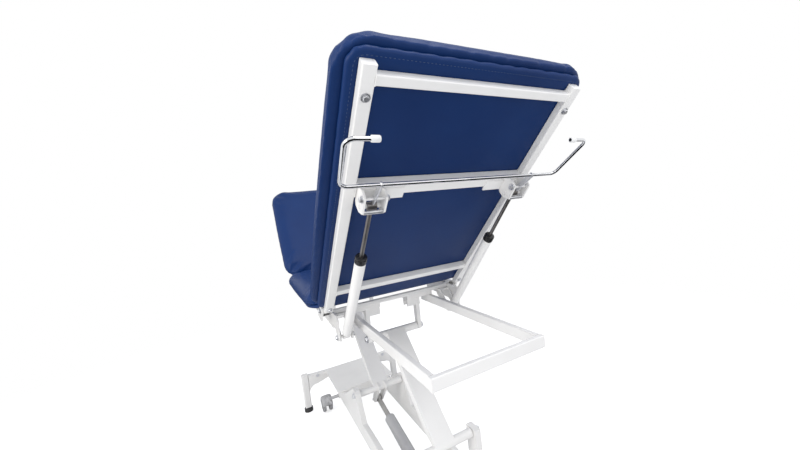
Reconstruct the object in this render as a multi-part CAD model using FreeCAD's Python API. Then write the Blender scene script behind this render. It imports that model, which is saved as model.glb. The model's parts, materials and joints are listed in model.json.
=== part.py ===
import FreeCAD, Part
import math
import os

os.makedirs("parts", exist_ok=True)
V = FreeCAD.Vector

# Upholstered sections
pad_width = 560.0
pad_corner = 45.0
pad_edge = 34.0
foam_thick = 48.0
board_thick = 12.0
board_inset = 16.0
back_pad_length = 815.0
leg_pad_length = 500.0
seat_pad_setback = 34.0
section_pad_start = 18.0

# Level of the board undersides, hinge axes and the stored pose
deck_z = 723.0
hinge_rise = 5.0
hinge_z = deck_z + hinge_rise
back_hinge_x = -110.0
hinge_spacing = 630.0
leg_hinge_x = back_hinge_x - hinge_spacing
back_angle = 41.16
leg_angle = 55.0

# Square tubes of the section frames
rail_width = 25.0
rail_depth = 20.0
rail_setback = 35.0
rail_outer_y = pad_width / 2 - rail_setback
rail_inner_y = rail_outer_y - rail_width
rail_start = 24.0
rail_top = 800.0
tube_wall = 2.0
tube_radius = 3.0
low_rail_u = 118.0
low_rail_height = 21.0
mid_rail_u = 519.0
mid_rail_height = 36.0
top_rail_u = 766.0
top_rail_height = 19.0
seat_rail_inset = 15.0
seat_cross_width = 20.0
seat_cross_height = 13.0

# Hinges of the backrest and leg section
hinge_pin_r = 5.0
ear_thick = 6.0
ear_radius = 12.0
hinge_plate_thick = 6.0
hinge_plate_radius = 14.0
hinge_side_gap = 0.5
running = 0.05
plate_foot = 60.0
plate_drop = 32.0
plate_reach = 60.0

# U-shaped frame under the backrest
u_width = 305.0
u_tube = 15.0
u_height = 30.0
u_top_z = 686.0
u_open_x = -204.0
u_near_x = 428.0

# Lift arms: pivots, channel and pivot tubes
foot_top_x = -719.9
head_top_x = -162.9
foot_pivot_z = 264.0
head_pivot_z = 315.0
arm_length = 400.5
arm_rest_angle = 40.85
arm_width = 65.0
arm_sheet = 4.0
arm_flange = 29.0
arm_taper = 45.0
arm_tube_r = 14.0
pivot_r = 7.0
pivot_engage = 35.0
side_play = 2.0

# Hangers and carriers of the upper frame
hanger_inner_y = 88.0
hanger_thick = 14.0
hanger_width = 24.0
hanger_boss_r = 14.0
carrier_inner_y = 52.0
carrier_width = 50.0
carrier_height = deck_z - rail_depth - u_top_z
bracket_width = 36.0
bracket_drop = 26.0
bracket_sheet = 4.0

# Base
beam_inner_y = 95.0
beam_thick = 20.0
beam_low_z = 111.0
beam_height = 66.0
beam_wall = 3.0
cheek_radius = 22.0
cheek_head_run = 55.0
cheek_foot_run = 190.0
cheek_bevel = 12.0
post_width = 50.0
post_over = 14.0
leg_foot_x = -939.0
leg_head_x = 401.0
leg_y = 244.0
leg_size = 32.0
leg_top_z = 198.0
leg_corner = 6.0
foot_radius = 21.0
foot_height = 25.0
foot_bevel = 3.0
pan_half_y = 137.0
pan_length = 305.0
pan_post_gap = 17.0
pan_depth = 9.0
pan_sheet = 3.0
pan_round = 5.0
outrigger_drop = 8.0
outrigger_low = 70.0
outrigger_root = 6.0
shoulder_drop = 22.0
gusset_radius = 40.0
gusset_rise = 8.0

# Retracting castors
wheel_r = 36.0
wheel_clear_floor = 4.0
wheel_y = 162.0
disc_inner = 9.0
disc_thick = 14.0
disc_bevel = 3.0
hub_r = 10.0
dish_r = 26.0
dish_depth = 3.0
hood_gap = 2.0
hood_sheet = 2.5
hood_low = 8.0
wheel_from_leg = 70.0
bar_from_wheel = 69.0
bar_z = 95.0
bar_r = 8.0
stem_half = 6.0
stem_radius = 13.0
axle_r = 4.0
axle_end = 1.0
bar_lug_radius = 15.0
bar_lug_inset = 4.0
pedal_reach = 70.0
pedal_rise = 12.0
pedal_r = 5.0

# Electric actuator
crank_length = 100.0
crank_angle = 232.0
crank_half_gap = 13.0
crank_sheet = 6.0
crank_tip_r = 14.0
crank_rim = 7.0
rear_pivot_x = 40.0
rear_pivot_z = 76.0
housing_r = 21.0
housing_start = 90.0
housing_end = 392.0
housing_wall = 4.0
housing_solid = 90.0
housing_cap = 8.0
actuator_rod_r = 10.0
actuator_rod_start = 250.0
actuator_eye_r = 15.0
actuator_eye_half = 10.0
actuator_pin_r = 6.0
motor_start = 50.0
motor_length = 105.0
motor_width = 62.0
motor_drop = 34.0
motor_round = 9.0
motor_skin = 4.0
anchor_half_gap = 14.0
anchor_plate = 6.0
anchor_root_r = 18.0
anchor_width = 40.0
anchor_height = 30.0
anchor_rise = 5.0

# Gas springs of the backrest
spring_inset = 52.0
spring_y = rail_outer_y - spring_inset
spring_low_x = -66.0
spring_low_z = 645.0
spring_top_u = 519.0
spring_top_v = 53.0
cylinder_r = 14.0
cylinder_bore_r = 11.0
cylinder_end = 358.0
collar_length = 21.0
collar_r = 15.0
spring_rod_r = 5.0
spring_rod_start = 150.0
spring_eye_r = 9.0
spring_eye_half = 10.0
spring_pin_r = 5.0
lug_gap = 15.0
lug_sheet = 5.0
lug_back_x = -136.0
lug_front_x = -112.0
lug_tip_r = 13.0
lug_heel = 20.0

# Clevises and release bar behind the backrest
clevis_half_gap = 21.0
clevis_sheet = 4.0
clevis_foot = 8.0
clevis_edge = 15.0
clevis_nose = 10.0
clevis_end = 20.0
clevis_round = 4.0
recess_r = 5.5
recess_depth = 2.0
doubler_width = 30.0
doubler_reach = 56.0
stay_r = 4.0
stay_drop = 15.5
stay_back = 3.0
release_ahead = 28.0
release_below = 7.0
release_u = spring_top_u + release_ahead
release_v = spring_top_v + release_below
release_pin_r = 3.0
release_boss = 4.0
release_r = 4.0
tail_length = 12.0
tail_r = 4.0
bar_ahead = 50.5
bar_below = 13.0
bar_u = release_u + bar_ahead
bar_v = release_v + bar_below
bar_side_gap = 8.0
bar_half_y = pad_width / 2 - bar_side_gap
grip_ahead = 117.5
grip_below = 17.0
grip_u = bar_u + grip_ahead
grip_v = bar_v + grip_below
grip_side_gap = 0.5
grip_length = 57.5
grip_y = pad_width / 2 - grip_side_gap
grip_end_y = grip_y - grip_length
bar_bend = 12.0
cap_r = 8.0
cap_length = 22.0
cap_bevel = 2.0
release_arm_sheet = 4.0

# Leg section strut
strut_low_out = 44.0
strut_low_drop = 83.0
strut_top_u = 270.0
strut_top_v = 50.0
strut_r = 12.0
strut_bore_r = 9.0
strut_cylinder_end = 165.0
strut_rod_r = 4.0
strut_rod_start = 110.0
strut_eye_r = 9.0
strut_eye_half = 8.0
strut_pin_r = 4.0
strut_gap = 14.0
strut_edge = 10.0
strut_heel = 14.0
leg_rail_end = 488.0
leg_cross_u = 284.0
leg_cross_height = 22.0
leg_end_u = 450.0

# Hexagon bolts
bolt_flat = 17.0
bolt_head = 7.0
washer_r = 13.0
washer_thick = 2.0
small_flat = 10.0
small_head = 5.0
small_washer_r = 8.0
small_washer = 1.5
back_bolt_top_u = 746.0
back_bolt_low_u = 42.0


def box(x0, x1, y0, y1, z0, z1):
    return Part.makeBox(x1 - x0, y1 - y0, z1 - z0, V(x0, y0, z0))


def along(shape, axis):
    return [e for e in shape.Edges
            if len(e.Vertexes) == 2
            and abs((e.Vertexes[1].Point - e.Vertexes[0].Point).normalize().dot(axis)) > 0.999]


def bar(x0, x1, y0, y1, z0, z1, axis, radius=tube_radius):
    solid = box(x0, x1, y0, y1, z0, z1)
    return solid.makeFillet(radius, along(solid, axis))


def tube(x0, x1, y0, y1, z0, z1, axis, wall=tube_wall, radius=tube_radius):
    skin = V(wall, wall, wall)
    inset = skin - axis * (2 * wall)
    low = V(x0, y0, z0) + inset
    high = V(x1, y1, z1) - inset
    return bar(x0, x1, y0, y1, z0, z1, axis, radius).cut(box(low.x, high.x, low.y, high.y, low.z, high.z))


def prism(points, y0, y1):
    wire = Part.makePolygon([V(x, y0, z) for x, z in points] + [V(points[0][0], y0, points[0][1])])
    return Part.Face(wire).extrude(V(0, y1 - y0, 0))


def rod_y(x, z, y0, y1, radius):
    return Part.makeCylinder(radius, y1 - y0, V(x, y0, z), V(0, 1, 0))


def rod(start, end, radius):
    return Part.makeCylinder(radius, (end - start).Length, start, end - start)


def joined(first, *others):
    return first.fuse(list(others)).removeSplitter()


def link_plate(x0, z0, r0, x1, z1, r1, y0, y1):
    # Flat link: two round ends of different radius and the tangent web between them.
    run = math.hypot(x1 - x0, z1 - z0)
    heading = math.atan2(z1 - z0, x1 - x0)
    lean = math.acos((r0 - r1) / run)
    corners = []
    for turn, x, z, r in ((lean, x0, z0, r0), (lean, x1, z1, r1), (-lean, x1, z1, r1), (-lean, x0, z0, r0)):
        corners.append((x + r * math.cos(heading + turn), z + r * math.sin(heading + turn)))
    return joined(prism(corners, y0, y1), rod_y(x0, z0, y0, y1, r0), rod_y(x1, z1, y0, y1, r1))


def mirrored(shape):
    return shape.mirror(V(0, 0, 0), V(0, 1, 0))


def turned(shape, centre, axis, angle):
    copy = shape.copy()
    copy.rotate(centre, axis, angle)
    return copy


def hex_bolt(x, y, z, side, flat, head, disc_r, disc, shank_r=0.0, shank=0.0):
    # Hexagon head on a washer; the washer's face lies at y and the head points to side * Y.
    corner = flat / math.sqrt(3)
    ring = [V(corner * math.cos(math.radians(60 * k)), 0,
              corner * math.sin(math.radians(60 * k))) for k in range(7)]
    hexagon = Part.Face(Part.makePolygon(ring)).extrude(V(0, head, 0))
    hexagon.translate(V(0, disc, 0))
    solid = joined(Part.makeCylinder(disc_r, disc, V(0, 0, 0), V(0, 1, 0)), hexagon)
    if shank > 0:
        solid = joined(solid, Part.makeCylinder(shank_r, shank, V(0, -shank, 0), V(0, 1, 0)))
    if side < 0:
        solid = solid.mirror(V(0, 0, 0), V(0, 1, 0))
    solid.translate(V(x, y, z))
    return solid


def pad(x0, x1, z0):
    block = box(x0, x1, -pad_width / 2, pad_width / 2, z0, z0 + foam_thick)
    block = block.makeFillet(pad_corner, along(block, V(0, 0, 1)))
    rim = [e for e in block.Edges if min(v.Z for v in e.Vertexes) > z0 + foam_thick - 1]
    return block.makeFillet(pad_edge, rim)


def board(x0, x1, z0):
    half = pad_width / 2 - board_inset
    block = box(x0, x1, -half, half, z0, z0 + board_thick)
    return block.makeFillet(pad_corner - board_inset, along(block, V(0, 0, 1)))


# Sections are drawn level. u runs outwards from a hinge axis and v runs down from it.
back_hinge = V(back_hinge_x, 0, hinge_z)
leg_hinge = V(leg_hinge_x, 0, hinge_z)
rail_v = hinge_rise
rail_low_v = hinge_rise + rail_depth
X = V(1, 0, 0)
Y = V(0, 1, 0)
Z = V(0, 0, 1)


def raise_back(shape):
    return turned(shape, back_hinge, V(0, -1, 0), back_angle)


def raise_leg(shape):
    return turned(shape.mirror(leg_hinge, X), leg_hinge, Y, leg_angle)


def section_point(hinge, u, y, v):
    return V(hinge.x + u, y, hinge.z - v)


def section_box(hinge, u0, u1, y0, y1, v0, v1):
    return (hinge.x + u0, hinge.x + u1, y0, y1, hinge.z - v1, hinge.z - v0)


nodes = {}


def section_rail(hinge, end):
    # Side rail with a closed outer end and a hinge ear that continues its outer wall.
    rail = tube(*section_box(hinge, rail_start, end, rail_inner_y, rail_outer_y, rail_v, rail_low_v), X)
    plug = section_box(hinge, end - tube_wall, end, rail_inner_y + tube_wall, rail_outer_y - tube_wall,
                       rail_v + tube_wall, rail_low_v - tube_wall)
    ear_y = rail_outer_y - ear_thick
    ear_flat = math.sqrt(ear_radius ** 2 - rail_v ** 2)
    web = [(hinge.x, hinge.z - ear_radius), (hinge.x + rail_start + ear_radius, hinge.z - rail_low_v),
           (hinge.x + rail_start + ear_radius, hinge.z - rail_v), (hinge.x + ear_flat, hinge.z - rail_v)]
    ear = joined(prism(web, ear_y, rail_outer_y), rod_y(hinge.x, hinge.z, ear_y, rail_outer_y, ear_radius))
    inside = section_box(hinge, rail_start, rail_start + 2 * ear_radius, rail_inner_y + tube_wall, ear_y,
                         rail_v + tube_wall, rail_low_v - tube_wall)
    solid = joined(rail, box(*plug), ear).cut(box(*inside))
    return solid.cut(rod_y(hinge.x, hinge.z, ear_y - 1, rail_outer_y + 1, hinge_pin_r + running))


# Backrest frame
back_rail = section_rail(back_hinge, rail_top)
nodes["back_rail_right"] = raise_back(back_rail)
nodes["back_rail_left"] = raise_back(mirrored(back_rail))
for name, low, height in (("back_top_rail", top_rail_u, top_rail_height),
                          ("back_mid_rail", mid_rail_u, mid_rail_height),
                          ("back_low_rail", low_rail_u, low_rail_height)):
    cross = tube(*section_box(back_hinge, low, low + height, -rail_inner_y, rail_inner_y, rail_v,
                              rail_low_v), Y)
    nodes[name] = raise_back(cross)

# Backrest upholstery
back_start = back_hinge_x + section_pad_start
back_end = back_start + back_pad_length
nodes["back_board"] = raise_back(board(back_start, back_end - board_inset, deck_z))
nodes["back_pad"] = raise_back(pad(back_start, back_end, deck_z + board_thick))

# Clevises that hold the upper eyes of the gas springs
clevis_in_y = spring_y - clevis_half_gap
clevis_out_y = spring_y + clevis_half_gap
spring_top = section_point(back_hinge, spring_top_u, 0, spring_top_v)
release_axis = section_point(back_hinge, release_u, 0, release_v)
clevis_outline = [(mid_rail_u - clevis_foot, rail_low_v), (release_u + clevis_edge / 3, rail_low_v),
                  (release_u + clevis_edge, release_v - clevis_nose),
                  (release_u + clevis_nose, release_v + clevis_nose),
                  (spring_top_u - stay_back, spring_top_v + clevis_end),
                  (spring_top_u - clevis_edge, spring_top_v),
                  (spring_top_u - clevis_edge, spring_top_v - clevis_end)]
clevis_points = [(back_hinge_x + u, hinge_z - v) for u, v in clevis_outline]


def clevis_cheek(y0):
    cheek = prism(clevis_points, y0, y0 + clevis_sheet)
    free = [e for e in along(cheek, Y) if e.CenterOfMass.z < hinge_z - rail_low_v - clevis_round]
    return cheek.makeFillet(clevis_round, free)


doubler = section_box(back_hinge, mid_rail_u - clevis_foot, mid_rail_u - clevis_foot + doubler_width,
                      clevis_in_y - clevis_sheet - doubler_reach, clevis_out_y + clevis_sheet,
                      rail_low_v, rail_low_v + clevis_sheet)
stay = section_point(back_hinge, spring_top_u - stay_back, 0, spring_top_v + stay_drop)
clevis = joined(box(*doubler), clevis_cheek(clevis_in_y - clevis_sheet), clevis_cheek(clevis_out_y))
for axis, radius in ((spring_top, spring_pin_r), (release_axis, release_pin_r), (stay, stay_r)):
    clevis = joined(clevis, rod_y(axis.x, axis.z, clevis_in_y - 1, clevis_out_y + 1, radius))
for side in (-1, 1):
    face_y = spring_y + side * (clevis_half_gap + clevis_sheet)
    recess = rod_y(spring_top.x, spring_top.z, face_y - recess_depth, face_y + recess_depth, recess_r)
    clevis = joined(clevis.cut(recess), hex_bolt(release_axis.x, face_y, release_axis.z, side, small_flat,
                                                 small_head,
                                                 small_washer_r, small_washer))
nodes["spring_clevis_right"] = raise_back(clevis)
nodes["spring_clevis_left"] = raise_back(mirrored(clevis))

# Bolts that hold the board to the rails
rail_mid_y = (rail_inner_y + rail_outer_y) / 2
board_bolts = []
for u in (back_bolt_top_u, back_bolt_low_u):
    for y in (-rail_mid_y, rail_mid_y):
        bolt = hex_bolt(0, 0, 0, 1, small_flat, small_head, small_washer_r, small_washer)
        bolt.rotate(V(0, 0, 0), X, -90)
        bolt.translate(section_point(back_hinge, u, y, rail_low_v))
        board_bolts.append(bolt)
nodes["back_bolts"] = raise_back(Part.makeCompound(board_bolts))

# Release bar: chrome rod with two arms on the clevis pins and a grip at each side
arm_y0 = spring_y - release_arm_sheet / 2
arm_y1 = spring_y + release_arm_sheet / 2
bar_centre = section_point(back_hinge, bar_u, 0, bar_v)
tail = release_axis - X * tail_length
lever_r = release_pin_r + release_boss
release_arm = joined(link_plate(release_axis.x, release_axis.z, lever_r, bar_centre.x, bar_centre.z,
                                lever_r - 1, arm_y0, arm_y1),
                     link_plate(release_axis.x, release_axis.z, lever_r, tail.x, tail.z, tail_r, arm_y0,
                                arm_y1))
release_arm = release_arm.cut(rod_y(release_axis.x, release_axis.z, arm_y0 - 1, arm_y1 + 1,
                                    release_pin_r + running))
cross_half = bar_half_y - bar_bend
release_bar = joined(rod_y(bar_centre.x, bar_centre.z, -cross_half, cross_half, release_r), release_arm,
                     mirrored(release_arm))
nodes["release_bar"] = raise_back(release_bar)


def bent_rod(points, radius, bend):
    # Round rod along a polyline; each corner is cut by a short straight run, as in a press-bent rod.
    path = [points[0]]
    for before, corner, after in zip(points, points[1:], points[2:]):
        path.append(corner - (corner - before).normalize() * bend)
        path.append(corner + (after - corner).normalize() * bend)
    path.append(points[-1])
    runs = [rod(start, end, radius) for start, end in zip(path, path[1:])]
    knuckles = [Part.makeSphere(radius, point) for point in path[1:-1]]
    return joined(runs[0], *runs[1:], *knuckles)


grip_path = [section_point(back_hinge, bar_u, cross_half, bar_v),
             section_point(back_hinge, bar_u, bar_half_y, bar_v),
             section_point(back_hinge, grip_u, grip_y, grip_v),
             section_point(back_hinge, grip_u, grip_end_y, grip_v)]
cap_at = section_point(back_hinge, grip_u, grip_end_y, grip_v)
cap = rod_y(cap_at.x, cap_at.z, grip_end_y, grip_end_y + cap_length, cap_r)
grip_rod = bent_rod(grip_path, release_r, bar_bend / 2).cut(cap)
cap = cap.makeChamfer(cap_bevel, [e for e in cap.Edges if e.BoundBox.YMax < grip_end_y + 1])
grip = Part.makeCompound([grip_rod, cap])
nodes["release_grip_right"] = raise_back(grip)
nodes["release_grip_left"] = raise_back(mirrored(grip))

# Gas springs, drawn along X from the lower eye and then laid between the two pivots
spring_up = turned(Part.Vertex(spring_top), back_hinge, V(0, -1, 0), back_angle).Point
spring_low = V(spring_low_x, 0, spring_low_z)
spring_run = spring_up - spring_low
spring_length = spring_run.Length
spring_pitch = math.degrees(math.atan2(spring_run.z, spring_run.x))


def lay(shape, start, pitch, y):
    copy = turned(shape, V(0, 0, 0), V(0, -1, 0), pitch)
    copy.translate(V(start.x, y, start.z))
    return copy


def strut_cylinder(r, bore, end, eye_r, eye_half, pin_r, pin_half, rod_r, head, head_r):
    body = rod(V(eye_r - 1, 0, 0), V(end, 0, 0), r)
    body = body.makeChamfer(3.0, [e for e in body.Edges if e.BoundBox.XMax < eye_r])
    eye = rod_y(0, 0, -eye_half, eye_half, eye_r)
    pin = rod_y(0, 0, -pin_half, pin_half, pin_r)
    body = joined(body, eye, pin).cut(rod(V(eye_r + 8, 0, 0), V(end - 3, 0, 0), bore))
    body = body.cut(rod(V(end - 4, 0, 0), V(end + 1, 0, 0), rod_r + running))
    gland = rod(V(end, 0, 0), V(end + head, 0, 0), head_r)
    gland = gland.makeChamfer(2.0, [e for e in gland.Edges if e.BoundBox.XMin > end + head - 1])
    gland = gland.cut(rod(V(end - 1, 0, 0), V(end + head + 1, 0, 0), rod_r + running))
    return Part.makeCompound([body, gland])


def strut_rod(r, start, length, eye_r, eye_half, pin_r):
    shaft = joined(rod(V(start, 0, 0), V(length - eye_r + 1, 0, 0), r),
                   rod_y(length, 0, -eye_half, eye_half, eye_r))
    return shaft.cut(rod_y(length, 0, -eye_half - 1, eye_half + 1, pin_r + running))


gas_cylinder = strut_cylinder(cylinder_r, cylinder_bore_r, cylinder_end, spring_eye_r, spring_eye_half,
                              spring_pin_r,
                              lug_gap - 1, spring_rod_r, collar_length, collar_r)
gas_rod = strut_rod(spring_rod_r, spring_rod_start, spring_length, spring_eye_r, spring_eye_half,
                    spring_pin_r)
for name, y in (("left", -spring_y), ("right", spring_y)):
    nodes["gas_cylinder_" + name] = lay(gas_cylinder, spring_low, spring_pitch, y)
    nodes["gas_rod_" + name] = lay(gas_rod, spring_low, spring_pitch, y)

# Seat side rails with the hinge plates of both moving sections
seat_head_x = back_hinge_x - seat_rail_inset
seat_foot_x = leg_hinge_x + seat_rail_inset
seat_rail = tube(seat_foot_x, seat_head_x, rail_inner_y, rail_outer_y, deck_z - rail_depth, deck_z, X)
plate_y0 = rail_outer_y
plate_y1 = rail_outer_y + hinge_side_gap + hinge_plate_thick
for hinge, inward in ((back_hinge, -1), (leg_hinge, 1)):
    outline = [(hinge.x, hinge.z + hinge_plate_radius), (hinge.x + inward * hinge_plate_radius, hinge.z),
               (hinge.x + inward * plate_foot, deck_z - rail_depth),
               (hinge.x + inward * seat_rail_inset, deck_z - plate_drop),
               (hinge.x, hinge.z - hinge_plate_radius)]
    plate = joined(prism(outline, plate_y0, plate_y1), rod_y(hinge.x, hinge.z, plate_y0, plate_y1,
                                                             hinge_plate_radius))
    relief = box(hinge.x - hinge_plate_radius - 1, hinge.x + hinge_plate_radius + 1, plate_y0 - 1,
                 plate_y0 + hinge_side_gap, hinge.z - plate_reach, hinge.z + plate_reach)
    plate = plate.cut(relief).cut(rod_y(hinge.x, hinge.z, plate_y0 - 1, plate_y1 + 1, hinge_pin_r + running))
    seat_rail = joined(seat_rail, plate)
nodes["seat_rail_right"] = seat_rail
nodes["seat_rail_left"] = mirrored(seat_rail)

# Seat cross rails; the head one carries the lower lugs of the gas springs
seat_low_z = deck_z - rail_depth
seat_cross_z = seat_low_z + seat_cross_height
head_cross = tube(seat_head_x - seat_cross_width, seat_head_x, -rail_inner_y, rail_inner_y, seat_low_z,
                  seat_cross_z, Y)
lug_outline = [(lug_back_x, seat_low_z), (lug_front_x, seat_low_z), (spring_low.x + lug_tip_r, spring_low.z),
               (spring_low.x + lug_tip_r / 2, spring_low.z - lug_tip_r),
               (spring_low.x - lug_tip_r / 2, spring_low.z - lug_tip_r), (lug_back_x, seat_low_z - lug_heel)]
for y in (-spring_y, spring_y):
    web = box(lug_back_x, lug_front_x, y - lug_gap - lug_sheet, y + lug_gap + lug_sheet,
              seat_low_z - lug_sheet, seat_low_z)
    head_cross = joined(head_cross, web, prism(lug_outline, y - lug_gap - lug_sheet, y - lug_gap),
                        prism(lug_outline, y + lug_gap, y + lug_gap + lug_sheet))
    for side in (-1, 1):
        head_cross = joined(head_cross, hex_bolt(spring_low.x, y + side * (lug_gap + lug_sheet),
                                                 spring_low.z, side,
                                                 small_flat, small_head, small_washer_r, small_washer))
nodes["seat_cross_head"] = head_cross
nodes["seat_cross_foot"] = tube(seat_foot_x, seat_foot_x + seat_cross_width, -rail_inner_y, rail_inner_y,
                                seat_low_z, seat_cross_z, Y)

# Seat upholstery
seat_x0 = leg_hinge_x + seat_pad_setback
seat_x1 = back_hinge_x - seat_pad_setback
nodes["seat_board"] = board(seat_x0, seat_x1, deck_z)
nodes["seat_pad"] = pad(seat_x0, seat_x1, deck_z + board_thick)

# Hinge pins of both sections
pins = []
for hinge in (back_hinge, leg_hinge):
    for side in (-1, 1):
        pin = hex_bolt(hinge.x, plate_y1, hinge.z, 1, small_flat, small_head, small_washer_r, small_washer,
                       hinge_pin_r, plate_y1 - rail_outer_y + ear_thick)
        pins.append(pin if side > 0 else mirrored(pin))
nodes["hinge_pins"] = Part.makeCompound(pins)

# U-shaped frame
half_u = u_width / 2
u_rail = tube(u_open_x, u_near_x - u_tube, half_u - u_tube, half_u, u_top_z - u_height, u_top_z, X)
nodes["u_rail_right"] = u_rail
nodes["u_rail_left"] = mirrored(u_rail)
nodes["u_cross_rail"] = bar(u_near_x - u_tube, u_near_x, -half_u, half_u, u_top_z - u_height, u_top_z, Y)

# Lift: the arms are drawn level, pointing to the foot end, and then raised to the stored pose
reach = V(-arm_length * math.cos(math.radians(arm_rest_angle)), 0,
          arm_length * math.sin(math.radians(arm_rest_angle)))
foot_pivot = V(foot_top_x - reach.x, 0, foot_pivot_z)
head_pivot = V(head_top_x - reach.x, 0, head_pivot_z)
foot_top = foot_pivot + reach
head_top = head_pivot + reach
low_tube_y = beam_inner_y - side_play
top_tube_y = hanger_inner_y - side_play


def lift_arm():
    sheet = [(-arm_length, arm_tube_r), (0, arm_tube_r), (0, arm_tube_r - arm_sheet),
             (-arm_length, arm_tube_r - arm_sheet)]
    flange = [(-arm_length, arm_tube_r), (0, arm_tube_r), (0, 0), (-arm_taper, arm_tube_r - arm_flange),
              (arm_taper - arm_length, arm_tube_r - arm_flange), (-arm_length, 0)]
    half = arm_width / 2
    arm = joined(prism(sheet, -half, half), prism(flange, -half, arm_sheet - half),
                 prism(flange, half - arm_sheet, half),
                 rod_y(0, 0, -low_tube_y, low_tube_y, arm_tube_r),
                 rod_y(-arm_length, 0, -top_tube_y, top_tube_y, arm_tube_r))
    bores = [rod_y(0, 0, -low_tube_y - 1, low_tube_y + 1, pivot_r + running),
             rod_y(-arm_length, 0, -top_tube_y - 1, top_tube_y + 1, pivot_r + running)]
    return arm.cut(bores)


crank_turn = math.radians(crank_angle + arm_rest_angle)
crank_tip = V(crank_length * math.cos(crank_turn), 0, crank_length * math.sin(crank_turn))
crank = []
for side in (-1, 1):
    y0 = min(side * crank_half_gap, side * (crank_half_gap + crank_sheet))
    cheek = link_plate(0, 0, arm_tube_r + crank_rim, crank_tip.x, crank_tip.z, crank_tip_r, y0,
                       y0 + crank_sheet)
    cheek = cheek.cut(rod_y(0, 0, y0 - 1, y0 + crank_sheet + 1, arm_tube_r - 1))
    crank.append(cheek)
    crank.append(hex_bolt(crank_tip.x, side * (crank_half_gap + crank_sheet), crank_tip.z, side,
                          small_flat, small_head,
                          small_washer_r, small_washer))
foot_arm = turned(joined(lift_arm(), *crank), V(0, 0, 0), Y, arm_rest_angle)
foot_arm.translate(foot_pivot)
nodes["lift_arm_foot"] = foot_arm
head_arm = turned(lift_arm(), V(0, 0, 0), Y, arm_rest_angle)
head_arm.translate(head_pivot)
nodes["lift_arm_head"] = head_arm

# Carriers: at each side a block under the seat rails, a U-bracket and a hanger down to an arm's upper pivot
hanger_outer_y = hanger_inner_y + hanger_thick


def carrier_block(pivot, y0, y1):
    half = carrier_width / 2
    return bar(pivot.x - half, pivot.x + half, y0, y1, u_top_z, u_top_z + carrier_height, Y)


def carrier_side(pivot):
    half = bracket_width / 2
    bracket = box(pivot.x - half, pivot.x + half, carrier_inner_y, hanger_outer_y, u_top_z - bracket_drop,
                  u_top_z)
    half -= bracket_sheet
    slot = box(pivot.x - half, pivot.x + half, carrier_inner_y - 1, hanger_inner_y,
               u_top_z - bracket_drop - 1,
               u_top_z - bracket_sheet)
    half = hanger_width / 2
    leg = box(pivot.x - half, pivot.x + half, hanger_inner_y, hanger_outer_y, pivot.z, u_top_z)
    boss = rod_y(pivot.x, pivot.z, hanger_inner_y, hanger_outer_y, hanger_boss_r)
    side = joined(carrier_block(pivot, carrier_inner_y, half_u), bracket.cut(slot), leg, boss)
    return side.cut(rod_y(pivot.x, pivot.z, hanger_inner_y - 1, hanger_outer_y + 1, pivot_r + running))


head_side = carrier_side(head_top)
nodes["lift_carrier_head"] = Part.makeCompound([head_side, mirrored(head_side)])
foot_side = carrier_side(foot_top)
foot_carrier = joined(foot_side, mirrored(foot_side), carrier_block(foot_top, -carrier_inner_y,
                                                                    carrier_inner_y))
upper_bolts = []
for pivot in (head_top, foot_top):
    bolt = hex_bolt(pivot.x, hanger_outer_y, pivot.z, 1, bolt_flat, bolt_head, washer_r, washer_thick,
                    pivot_r,
                    hanger_thick + pivot_engage)
    upper_bolts += [bolt, mirrored(bolt)]
nodes["upper_pivot_bolts"] = Part.makeCompound(upper_bolts)

# Leg section, drawn to the right of its hinge and mirrored when it is raised
leg_rail = section_rail(leg_hinge, leg_rail_end)
nodes["leg_rail_right"] = raise_leg(leg_rail)
nodes["leg_rail_left"] = raise_leg(mirrored(leg_rail))
leg_cross = tube(*section_box(leg_hinge, leg_cross_u, leg_cross_u + leg_cross_height, -rail_inner_y,
                              rail_inner_y,
                              rail_v, rail_low_v), Y)
strut_top = section_point(leg_hinge, strut_top_u, 0, strut_top_v)
bracket = [(leg_cross_u + leg_cross_height, rail_low_v),
           (leg_cross_u + leg_cross_height, rail_low_v + strut_edge),
           (strut_top_u + strut_edge, strut_top_v + strut_edge), (strut_top_u - strut_edge / 2,
                                                                  strut_top_v + strut_edge),
           (strut_top_u - strut_edge, strut_top_v), (leg_cross_u, rail_low_v)]
bracket = [(leg_hinge.x + u, leg_hinge.z - v) for u, v in bracket]
leg_cross = joined(leg_cross, prism(bracket, -strut_gap - lug_sheet, -strut_gap),
                   prism(bracket, strut_gap, strut_gap + lug_sheet),
                   rod_y(strut_top.x, strut_top.z, -strut_gap - lug_sheet, strut_gap + lug_sheet,
                         strut_pin_r))
nodes["leg_cross_rail"] = raise_leg(leg_cross)
leg_end = section_box(leg_hinge, leg_end_u, leg_end_u + rail_depth, -rail_inner_y, rail_inner_y, rail_v,
                      rail_low_v)
nodes["leg_end_rail"] = raise_leg(tube(*leg_end, Y))
leg_start = leg_hinge_x + section_pad_start
leg_end_x = leg_start + leg_pad_length
nodes["leg_board"] = raise_leg(board(leg_start, leg_end_x - board_inset, deck_z))
nodes["leg_pad"] = raise_leg(pad(leg_start, leg_end_x, deck_z + board_thick))

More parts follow.
